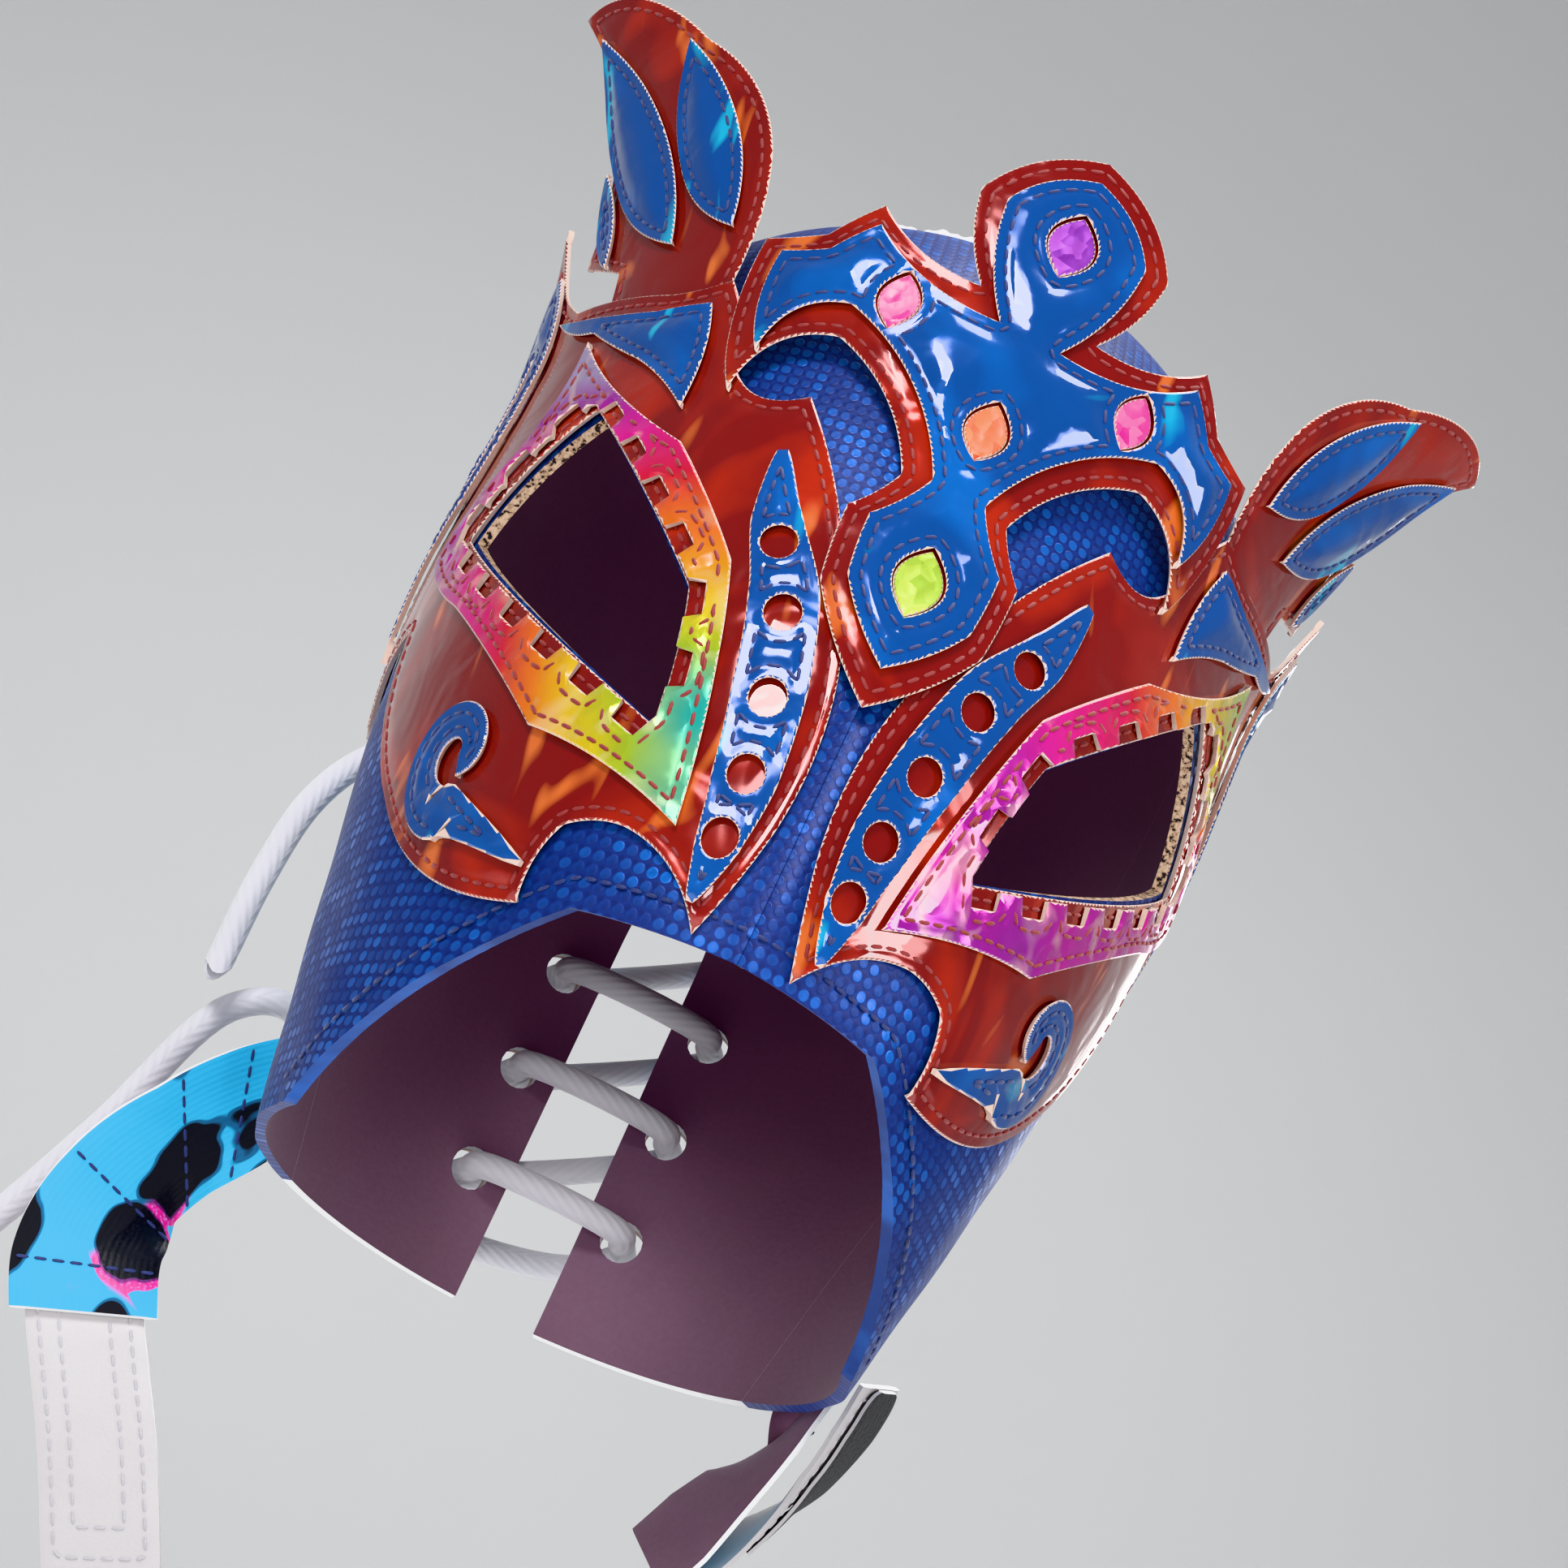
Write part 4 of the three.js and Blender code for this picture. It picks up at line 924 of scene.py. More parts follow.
def wall_piece(name, columns, rows, place, finishes_):
    """A wall laid on a grid: place(along, over, side) gives points and their flat pattern."""
    i, j = np.meshgrid(np.arange(columns + 1) / columns, np.arange(rows + 1) / rows, indexing="ij")
    skins = [place(i.ravel(), j.ravel(), side) for side in (0, 1)]
    points = np.concatenate([skin[0] for skin in skins])
    flat = np.concatenate([skin[1] for skin in skins])
    faces, parts = wall_faces(columns, rows)
    piece = mesh_piece(name, points, faces, finishes_, flat, parts)
    recalculate(piece, 0.00001)
    return piece


def mirror_piece(piece, name):
    """The same piece on the other side of the mask."""
    other = piece.copy()
    other.data = piece.data.copy()
    other.name = name
    other.data.name = name
    bpy.context.scene.collection.objects.link(other)
    other.data.transform(Matrix.Scale(-1, 4, (1, 0, 0)))
    other.data.flip_normals()
    return other


def cut(piece, loops, place, low, high, finish_index=1):
    """Cut the prisms that stand on flat loops out of a wall. The cut faces take one of its finishes."""
    for loop in loops:
        count = len(loop)
        points = np.concatenate([place(loop, high), place(loop, low)])
        fill = delaunay_2d_cdt([Vector(p) for p in loop], [(k, (k + 1) % count) for k in range(count)], [], 1, 1e-6)
        if len(fill[0]) != count:
            raise RuntimeError("a cutting loop crosses itself: " + piece.name)
        faces = [tuple(face) for face in fill[2]] + [tuple(v + count for v in reversed(face)) for face in fill[2]]
        faces += [(k, (k + 1) % count, count + (k + 1) % count, count + k) for k in range(count)]
        cutter = mesh_piece("cutter", points, faces, list(piece.data.materials), None, [finish_index] * len(faces))
        recalculate(cutter)
        hole = piece.modifiers.new("hole", "BOOLEAN")
        hole.operation = "DIFFERENCE"
        hole.solver = "EXACT"
        hole.object = cutter
        apply_modifiers(piece)
        bpy.data.objects.remove(cutter)


# Flat patterns, in millimetres

EYE_BOX = (33, 64, 82.5, 59.5)
PLATE_BOX = (0, 141, 40, 135)
HORN_BOX = (57, 54, -10, 72)
CREST_BOX = (0, 52.03, 10, 117.99)
LEAF_BOX = (104.06, 28.06, 42.03, 78.03)
BASE = (0.45, 1.55)
TOP = (2.0, 3.1)
CREST_TOP = (3.55, 4.65)
CREST_FOIL = (3.55, 4.15)
HORN_BASE = (-1.1, 0.0)
HORN_TOP = (0.45, 1.55)
HOOD_WALL = 2.0
EYELETS = [(9.0, 82 + 25 * k) for k in range(5)]
EYELET_RADIUS = 4.6
FACING = (0.9, 2.0)  # the facing's inner and outer face above the hood
LACE_CLEAR = 0.6
STRAP_WIDE, STRAP_THICK = 26, 1.8
TAB_WIDE, TAB_THICK = 21, 1.6
HOOK_WIDE, HOOK_THICK = 15, 1.2
WELT_HALF, WELT_TALL = 36, 6
FOIL_WIDE, FOIL_TOP, FOIL_END = 9, 146, 205

EYE_LOOP = bowed(framed([(0, 1, 0.03), (0.07, 0.6, 0.02), (0.66, 0, 0.05), (1, 0.4, 0.03)], EYE_BOX))
EYE_PLATE_ROWS = [
    (0.225, 0.262, 0.05), (0.045, 0.61, 0.06), (0.032, 0.83, 0.03), (0.075, 0.97, -0.1), (0.22, 0.885, -0.06),
    (0.3, 0.9, -0.12), (0.325, 0.995, 0.12), (0.66, 0.87, 0.1), (0.79, 0.6, -0.06), (1.02, 0.67, -0.05),
    (0.93, 0.5, -0.08), (1, 0.42, -0.03), (0.86, 0.24, 0.04), (0.845, -0.09, -0.12), (0.71, 0.1, 0),
    (0.5, 0.12, -0.05), (0.405, 0.1, 0.06), (0.345, 0.235, -0.24),
]
BAND_ROWS = [
    (-0.185, 1.26, 0.03), (-0.03, 0.5, 0.02), (0.27, 0.14, -0.05), (0.86, -0.3, -0.1), (0.93, 0.12, 0.05),
    (1.15, 0.46, 0.05), (0.87, 0.68, -0.02), (0.36, 1.08, -0.03),
]
NOSE_ROWS = [
    (0.222, 0.36, 0.15), (0.19, 0.46, 0.7), (0.142, 0.56, 0.95), (0.11, 0.68, 1), (0.094, 0.79, 0.9),
    (0.092, 0.88, 0.6), (0.094, 0.94, 0.1),
]
LEAF_ROWS = [
    (0.28, 0, 0.1), (0.56, 0.26, -0.08), (0.5, 0.42, 0.06), (0.72, 0.5, -0.06), (0.62, 0.68, 0.05),
    (1, 1, -0.06), (0.32, 0.66, 0.08), (0.1, 0.34, 0.1),
]
LEAF_SLIT = [(0.33, 0.22, 0.12), (0.42, 0.42, 0.1), (0.5, 0.62, 0.12), (0.34, 0.44, 0.1)]
BROW_ROWS = [
    (0.385, 0.32, 0.06), (0.415, 0.145, 0), (0.5, 0.155, -0.03), (0.74, 0.115, 0.08), (0.62, 0.17, 0.02),
    (0.5, 0.235, -0.04),
]
HORN_ROWS = [
    (0.98, 0, 0.13), (0.34, 0.16, 0.12), (0.02, 0.5, 0.05), (0.06, 0.98, 0), (0.62, 0.98, 0), (0.64, 0.79, 0),
    (0.93, 0.71, -0.14),
]
HORN_LEAVES = [(0.34, 0.76, 0.86, 0.08, 0.19), (0.71, 0.77, 0.83, 0.46, 0.17), (0.09, 0.72, 0.4, 0.16, 0.22)]
CREST_ROWS = [
    (0, 0, 0.1), (0.34, 0.13, 0.08), (0.22, 0.29, -0.12), (0.62, 0.21, 0.02), (0.78, 0.28, -0.03), (1, 0.3, 0.1),
    (0.9, 0.58, -0.22), (0.6, 0.45, -0.1), (0.2, 0.64, -0.05), (0.32, 0.72, 0.02), (0.3, 0.85, 0.06), (0, 1, 0),
]
CREST_WINDOWS = {
    "top": (0, 0.17, 1), "upper_left": (-0.45, 0.37, 0.9), "upper_right": (0.45, 0.37, 0.9),
    "middle": (0, 0.52, 0.95), "lower": (0, 0.8, 1.05),
}


def toothed(loop, teeth, near, far):
    """A loop round another, set out by near and far in turns."""
    lengths = np.hypot(*(np.roll(loop, -1, axis=0) - loop).T)
    gone = np.concatenate([[0], np.cumsum(lengths)])
    closed = np.concatenate([loop, loop[:1]])

    def lifted(share, distance):
        at = (share % 1) * gone[-1]
        k = min(len(loop) - 1, int(np.searchsorted(gone, at, side="right")) - 1)
        along = (closed[k + 1] - closed[k]) / lengths[k]
        point = closed[k] + along * (at - gone[k])
        return point + turning(loop) * distance * np.array([along[1], -along[0]])

    points = []
    for k in range(teeth):
        for first, last, distance in ((0.04, 0.46, near), (0.5, 0.96, far)):
            points += [lifted((k + first + (last - first) * s / 4) / teeth, distance) for s in range(5)]
    return np.array(points)


def even(rows, box):
    """The corners of a pattern that is even on the two sides of its middle line."""
    half = framed(rows, box)
    other = [(-half[i + 1][0], half[i + 1][1], half[i][2]) for i in range(len(half) - 1)]
    return half[:-1] + other[::-1]


def window_loop(row, clearance):
    across, down, size = row
    centre = (across * CREST_BOX[1], CREST_BOX[2] + down * CREST_BOX[3])
    half = size * 7 - clearance
    return bowed([(centre[0], centre[1] - half, 0.32), (centre[0], centre[1] + half, 0.32)], 0.9)


def nose_outline():
    """The strip beside the nose, with its five round windows."""
    wide, window = 13, 3.3
    curve = np.array([(a * PLATE_BOX[1], PLATE_BOX[2] + d * PLATE_BOX[3]) for a, d, _ in NOSE_ROWS])
    widths = [half * wide / 2 for _, _, half in NOSE_ROWS]
    last = len(widths) - 1
    outline = strip_loop(curve, 60, lambda s: float(np.interp(s * last, range(last + 1), widths)))
    windows = [ring(spline_point(curve, 0.22 + 0.58 * k / 4), window) for k in range(5)]
    return [outline, *windows]


def volute_outline():
    """The cheek's strip, wound up from its tail to its middle."""
    across, drop, radius, strip, turns, start, tail = 71, 152, 15.5, 9.4, 0.95, 108, 24
    winding = []
    for k in range(21):
        away = (radius - strip / 2) * (1 - 0.8 * k / 20)
        angle = math.radians(start - 360 * turns * k / 20)
        winding.append((across + away * math.cos(angle), drop + away * math.sin(angle)))
    curve = np.array([(across - tail, drop + 0.7 * tail), *winding])
    return [strip_loop(curve, 110, lambda s: strip / 2 * min(1, 0.1 + s * 16) * (1 - 0.5 * s))]


def leaf_outline(row):
    """A horn's leaf from its root to its tip, swollen on both sides."""
    root_a, root_d, tip_a, tip_d, swell = row
    (ra, rd, _), (ta, td, _) = framed([(root_a, root_d, 0), (tip_a, tip_d, 0)], HORN_BOX)
    side = (ta - ra, td - rd)
    middle = (ra + 0.4 * side[0] - swell * side[1], rd + 0.4 * side[1] + swell * side[0])
    return bowed([(ra, rd, swell / 2), (*middle, swell / 2), (ta, td, swell / 2)])


# Operators


class MASK_OT_camera(bpy.types.Operator):
    """Set the camera where the photograph was taken from"""

    bl_idname = "mask.camera"
    bl_label = "Camera"

    def execute(self, context):
        lens = bpy.data.cameras.new("camera")
        lens.sensor_width = 36
        lens.sensor_fit = "HORIZONTAL"
        lens.lens = 62.69
        lens.clip_start, lens.clip_end = 0.01, 50
        camera = bpy.data.objects.new("camera", lens)
        context.scene.collection.objects.link(camera)
        right, up = Vector((0.88933, -0.22141, 0.40009)), Vector((-0.45253, -0.30055, 0.83957))
        back = right.cross(up)
        turn = Matrix((right, up, back)).transposed()
        camera.matrix_world = Matrix.Translation((-0.0326, -0.48184, -0.29366)) @ turn.to_4x4()
        context.scene.camera = camera
        return {"FINISHED"}


def centripetal(points, share):
    """A point of the smooth curve through points in space, by an even share from point to point."""
    last = len(points) - 1
    at = share * last
    i = min(int(math.floor(at)), last - 1)
    t = at - i
    p1, p2 = points[i], points[i + 1]
    p0 = points[i - 1] if i > 0 else 2 * points[0] - points[1]
    p3 = points[i + 2] if i + 2 <= last else 2 * points[last] - points[last - 1]
    d0, d1, d2 = (max(np.linalg.norm(b - a), 1e-4) ** 0.5 for a, b in ((p0, p1), (p1, p2), (p2, p3)))
    t1 = (p1 - p0) / d0 - (p2 - p0) / (d0 + d1) + (p2 - p1) / d1
    t2 = (p2 - p1) / d1 - (p3 - p1) / (d1 + d2) + (p3 - p2) / d2
    t1, t2 = t1 * d1, t2 * d1
    return p1 + t1 * t + (3 * (p2 - p1) - 2 * t1 - t2) * t**2 + (2 * (p1 - p2) + t1 + t2) * t**3


def tube(name, route, radius, finishes_, sides=16, hollow=False):
    """A soft round cord along points in metres. A hollow one is open and a little flat at its far end."""
    route = np.asarray(route, float)
    along = np.gradient(route, axis=0)
    along /= np.linalg.norm(along, axis=1, keepdims=True)
    side = np.cross(along[0], (0, 0, 1.0))
    side = side / np.linalg.norm(side) if np.linalg.norm(side) > 0.1 else np.array((1.0, 0, 0))
    gone = np.concatenate([[0], np.cumsum(np.linalg.norm(np.diff(route, axis=0), axis=1))])
    points, flat = [], []
    for k, (at, way) in enumerate(zip(route, along)):
        side = side - way * side.dot(way)
        side /= np.linalg.norm(side)
        up = np.cross(way, side)
        flare = soft_step(gone[k], gone[-1] - 3 * radius, gone[-1]) if hollow else 0
        for s in range(sides):
            angle = 2 * math.pi * s / sides
            wide, tall = (1 + 0.12 * flare) * math.cos(angle), (1 - 0.2 * flare) * math.sin(angle)
            notch = way * radius * 0.5 * math.sin(2 * angle) * (k == len(route) - 1) * hollow
            points.append(at + radius * (wide * side + tall * up) + notch)
            flat.append((gone[k], radius * (math.pi - abs(angle - math.pi)) * 2))
    rings = len(route)
    if hollow:
        for depth, share in ((0, 0.72), (2.6, 0.66)):
            middle = np.mean(points[(len(route) - 1) * sides : len(route) * sides], axis=0)
            for s in range(sides):
                rim = np.array(points[(len(route) - 1) * sides + s])
                points.append(middle + (rim - middle) * share - along[-1] * depth * radius)
                flat.append((gone[-1], 0))
            rings += 1
    faces = []
    for k in range(rings - 1):
        for s in range(sides):
            n = (s + 1) % sides
            faces.append((k * sides + s, k * sides + n, (k + 1) * sides + n, (k + 1) * sides + s))
    faces.append(tuple(reversed(range(sides))))
    faces.append(tuple((rings - 1) * sides + s for s in range(sides)))
    piece = mesh_piece(name, points, faces, finishes_, flat)
    recalculate(piece)
    smooth(piece, 50)
    return piece


LACE_ROUTES = {
    "upper": [
        (-18.8, 103, -82.5), (-38, 96, -88), (-60, 76, -102), (-73, 56, -118), (-79, 45, -136), (-80, 40, -156),
        (-79, 38, -177),
    ],
    "lower": [
        (19.6, 86.2, -182), (13, 93, -187), (0, 95, -191), (-22, 86, -194), (-46, 68, -186), (-64, 52, -174),
        (-74, 49, -180), (-84, 43, -212), (-93, 45, -235), (-98, 36, -248),
    ],
}


class MASK_OT_laces(bpy.types.Operator):
    """Lay the two free ends of the lace"""

    bl_idname = "mask.laces"
    bl_label = "Free lace ends"

    def execute(self, context):
        width = sizes().lace_diameter
        for name, rows in LACE_ROUTES.items():
            rows = (np.array(rows, float) + (0, 0, LIFT)) * MM
            count = 12 * (len(rows) - 1)
            route = np.array([centripetal(rows, k / count) for k in range(count + 1)])
            piece = tube(f"lace_end_{name}_cord", route, width / 2, [lace_cloth()], 18, True)
            keep(piece, "lace_cloth", "lace_end_" + name)
            path = [tuple(map(float, p)) for p in route[::3]]
            if tuple(route[-1]) != path[-1]:
                path.append(tuple(map(float, route[-1])))
        return {"FINISHED"}


def seam_depth(drop):
    return -32 + 70 * np.sin(np.minimum(1, drop / 180) * np.pi / 2)


def seam_turn(drop, shift):
    y = seam_depth(drop) + shift
    depth = np.where(y < 0, HEAD_FORM.face(drop), HEAD_FORM.nape(drop))
    return np.arccos(np.clip(-y / np.maximum(depth, 1e-6), -1, 1))


def seam_points(count, shift):
    """Turns and drops spaced evenly along the crown seam, from the nose line to the hem."""
    low, high = 0.0, 32.0
    for _ in range(40):
        middle = (low + high) / 2
        if HEAD_FORM.face(np.array(middle)) < -(seam_depth(middle) + shift):
            low = middle
        else:
            high = middle
    first = (low + high) / 2
    drop = first + (207 - first) * (np.arange(401) / 400) ** 2
    turn = seam_turn(drop, shift)
    turn[0] = 0
    walk = HEAD_FORM.bare(turn, drop)
    gone = np.concatenate([[0], np.cumsum(np.linalg.norm(np.diff(walk, axis=0), axis=1))])
    aim = gone[-1] * np.arange(count + 1) / count
    return np.interp(aim, gone, turn), np.interp(aim, gone, drop)


def run_length(curve, count=800):
    """The length of the head's middle line from the crown down to each drop."""
    drop = 240 * (np.arange(count + 1) / count) ** 2
    step = np.hypot(np.diff(curve(drop)), np.diff(drop))
    return drop, np.concatenate([[0], np.cumsum(step)])


FACE_RUN = run_length(HEAD_FORM.face)
NAPE_RUN = run_length(HEAD_FORM.nape)


def cloth_pattern(turn, drop, start, run):
    """The flat pattern of the hood: along the middle line, and across from it."""
    down = np.interp(drop, *run)
    return np.stack([(turn - start) * np.maximum(HEAD_FORM.side(drop), 4) * 1.05, down], -1) * MM


def mouth_loop():
    corners = [(-35, 171), (35, 173), (101, 207), (101, 248.4), (-35, 248.4)]
    return bowed([(*corner, 0) for corner in corners], 3)


def slit_turn(drop):
    half = 0.2 + 9 * soft_step(drop, 48, 118)
    return half / np.maximum(HEAD_FORM.side(drop), 4 * half)


def along_slit(flat, out):
    radius = np.maximum(HEAD_FORM.side(flat[..., 1]), 15)
    return HEAD_FORM.at_turn(np.pi - slit_turn(flat[..., 1]) - flat[..., 0] / radius, flat[..., 1], out)


class MASK_OT_hood(bpy.types.Operator):
    """Sew the hood: two blue front panels and two printed back panels"""

    bl_idname = "mask.hood"
    bl_label = "Hood"

    def execute(self, context):
        rows, crown_rows = 130, 12
        front_turn, front_drop = seam_points(rows, -0.02)
        rear_turn, rear_drop = seam_points(rows, 0.02)
        mouth_line = [mouth_loop()]

        def front(along, over, side):
            j = np.rint(over * rows).astype(int)
            turn, drop = front_turn[j] * along, front_drop[j]
            flat = np.stack([turn * WRAP, drop], -1)
            near_mouth = edge_distance(flat, mouth_line)
            out = (side - 1) * HOOD_WALL + side * 0.35 * (1 - soft_step(near_mouth, 3.2, 4.6))
            ripple = np.sin(flat[:, 0] * 0.19 + flat[:, 1] * 0.11) * np.sin(flat[:, 1] * 0.13 - flat[:, 0] * 0.05)
            out = out + side * 0.25 * ripple * soft_step(drop, 140, 175)
            points = HEAD_FORM.at_turn(turn, drop, out)
            x = points[:, 0] / MM
            fold = 0.9 * np.exp(-((x / 0.9) ** 2)) * side * soft_step(drop, 4, 20)
            points = HEAD_FORM.at_turn(turn, drop, out - fold)
            points[:, 0] = np.maximum(points[:, 0], 0.04 * MM)
            return points, cloth_pattern(turn, drop, 0, FACE_RUN)

        def back(along, over, side):
            row = np.rint(over * (rows + crown_rows)).astype(int) - crown_rows
            j = np.maximum(row, 0)
            drop = rear_drop[j] * np.minimum(1, 1 + row / crown_rows) ** 2
            start = np.where(row < 0, 0, rear_turn[j])
            turn = start + (np.pi - slit_turn(drop) - start) * along
            points = HEAD_FORM.at_turn(turn, drop, (side - 1) * HOOD_WALL)
            points[:, 0] = np.maximum(points[:, 0], 0.04 * MM)
            return points, cloth_pattern(turn, drop, np.pi, NAPE_RUN)

        cloth = [blue_cloth(), blue_cloth(), lining(), layered_edge()]
        piece = wall_piece("hood_front_right_cloth", 84, rows, front, cloth)
        cut(piece, [mouth_loop()], HEAD_FORM, -8, 6)
        cut(piece, [EYE_LOOP], HEAD_FORM, -8, 6, 3)
        self.finish_pair(piece, "hood_front", "blue_cloth")
        hem = np.array([(0.6, 166.9), (36.4, 168.4), (104.5, 203.4)])
        stitches("hood_front_stitches", [along_corners(hem)], HEAD_FORM, 0.38, "navy")
        cloth = [printed_cloth(), raw_edge(), lining()]
        piece = wall_piece("hood_back_right_cloth", 90, rows + crown_rows, back, cloth)
        cut(piece, [ring(spot, EYELET_RADIUS, 20) for spot in EYELETS], along_slit, -8, 6)
        self.finish_pair(piece, "hood_back", "printed_cloth")
        return {"FINISHED"}

    def finish_pair(self, piece, name, slot):
        other = mirror_piece(piece, name + "_left_cloth")
        for one, title in ((piece, name + "_right"), (other, name + "_left")):
            smooth(one, 40)
            keep(one, slot, title)


class MASK_OT_eye_plates(bpy.types.Operator):
    """Sew the red plates round the eyes, with their rainbow bands and blue trimmings"""

    bl_idname = "mask.eye_plates"
    bl_label = "Eye plates"

    def execute(self, context):
        eye_hole = inset(EYE_LOOP, -0.4)
        outline = bowed(framed(EYE_PLATE_ROWS, PLATE_BOX))
        red_plate("eye_plate", [outline, eye_hole], BASE)
        band = [bowed(framed(BAND_ROWS, EYE_BOX)), toothed(EYE_LOOP, 15, 0.8, 4.0)]
        centre = np.array((EYE_BOX[0] + EYE_BOX[1] * 0.45, EYE_BOX[2] + EYE_BOX[3] * 0.55))

        def hue(flat, side):
            away = flat - centre
            across, down = away[:, 0] / 55, away[:, 1] / 50
            if side == "left":
                upper = np.clip(0.42 - 0.62 * down + 0.18 * across, 0, 1)
                lower = np.clip(0.1 + 0.66 * (across + 0.55), 0, 0.84)
                share = soft_step(down + 0.75 * across, -0.35, 0.55)
            else:
                upper = np.clip(0.56 + 0.28 * down - 0.42 * across, 0.14, 0.84)
                lower = np.clip(0.84 - 0.1 * across, 0.1, 0.9)
                slant = (flat - (EYE_BOX[0], EYE_BOX[2])) / (EYE_BOX[1], EYE_BOX[3])
                share = soft_step(slant[:, 1] + 0.95 * slant[:, 0], 0.95, 1.25)
            return upper * (1 - share) + lower * share

        foils = {side: rainbow_foil(side) for side in SIDES}
        more = {"step": 1.5, "values": {"hue": hue}}
        stitched_plate("eye_band", band, PLATE_FORM, *TOP, foils, "rainbow_foil", "red", **more)
        blue_plate("nose_strip", nose_outline(), TOP, 0.9)
        blue_plate("cheek_volute", volute_outline(), TOP, 0.9, step=1.2)
        blue_plate("temple_leaf", [bowed(framed(rows, LEAF_BOX)) for rows in (LEAF_ROWS, LEAF_SLIT)], TOP, 1)
        blue_plate("brow_flame", [bowed(framed(BROW_ROWS, PLATE_BOX))], TOP, 1)
        return {"FINISHED"}


class MASK_OT_horns(bpy.types.Operator):
    """Set the red horns with their blue leaves"""

    bl_idname = "mask.horns"
    bl_label = "Horns"

    def execute(self, context):
        red_plate("horn", [bowed(framed(HORN_ROWS, HORN_BOX))], HORN_BASE)
        for k, row in enumerate(HORN_LEAVES, 1):
            blue_plate(f"horn_leaf_{k}", [leaf_outline(row)], HORN_TOP, 1, step=1.4)
        return {"FINISHED"}


class MASK_OT_crest(bpy.types.Operator):
    """Stand the crest up on the brow, with its foil windows"""

    bl_idname = "mask.crest"
    bl_label = "Crest"

    def execute(self, context):
        corners = even(CREST_ROWS, CREST_BOX)
        red_plate("crest_base", [bowed(corners)], TOP, sides=("right",))
        pulled = inset(np.array([corner[:2] for corner in corners], float), 4.2)
        inner = bowed([(*point, corner[2]) for point, corner in zip(pulled, corners)])
        loops = [inner] + [window_loop(row, 0) for row in CREST_WINDOWS.values()]
        blue_plate("crest_overlay", loops, CREST_TOP, 1.1, sides=("right",))
        tints = {
            "top": ((0.18, 0.03, 0.34), (0.45, 0.10, 0.55)),
            "upper_left": ((0.75, 0.02, 0.30), (1.0, 0.25, 0.55)),
            "upper_right": ((0.75, 0.02, 0.30), (1.0, 0.25, 0.55)),
            "middle": ((0.80, 0.08, 0.06), (1.0, 0.40, 0.12)),
            "lower": ((0.28, 0.48, 0.05), (0.75, 0.80, 0.15)),
        }
        for name, row in CREST_WINDOWS.items():
            stitched_plate(
                "crest_window_" + name, [window_loop(row, 0.5)], PLATE_FORM, *CREST_FOIL,
                window_foil(name, *tints[name]), "window_foil", "navy", sides=("right",), step=1.0, seam=False,
            )
        return {"FINISHED"}


# Where the middle of a strap's end meets the rear edge of the hood. The runs start from it.
STRAP_DROP = 193.5
RIGHT_ROOT = HEAD_FORM.bare(seam_turn(np.array(STRAP_DROP), 0), np.array(STRAP_DROP))
LEFT_ROOT = RIGHT_ROOT * (-1, 1, 1)
LEFT_RUN = [
    (-3.6, -2.2, 0, -0.2, 0.1, 1), (-12.2, -6.5, -10.5, -0.35, -0.3, 0.9), (-17.7, -9, -20.5, -0.5, -0.45, 0.7),
    (-21.2, -11.5, -31.5, -0.8, -0.4, 0.2), (-21.2, -14.5, -42.5, -0.93, -0.1, -0.3),
    (-16.7, -17.5, -52.5, -0.93, 0.15, -0.33), (-10.7, -18, -62, -0.92, 0.2, -0.34),
    (-4.7, -16.5, -71, -0.9, 0.21, -0.37), (1.3, -13.5, -81, -0.9, 0.22, -0.38),
    (7.3, -9, -91.5, -0.9, 0.21, -0.37),
]
RIGHT_RUN = [
    (3.6, -2.2, 0, 0.2, 0.1, 1), (7.2, -4.5, -9.5, 0.2, -0.6, 0.78), (4.2, -2, -19, 0.22, -0.85, 0.3),
    (0, 0.5, -28.5, 0.22, -0.9, -0.2), (-3.8, 2.8, -37.9, 0.27, -0.87, -0.41),
    (-7.7, 4.6, -46.7, 0.27, -0.87, -0.41),
]
FOLDED_RUN = [
    (-5.8, 5.4, -46.9, -0.27, 0.87, 0.41), (2, 3.4, -40, -0.15, 0.93, 0.35), (8.3, -1, -31, 0.1, 0.95, 0.22),
    (12.8, -5, -21.5, 0.35, 0.91, 0.15), (15.5, -8.5, -11, 0.47, 0.85, 0.23), (16.7, -11, -1, 0.48, 0.83, 0.28),
]


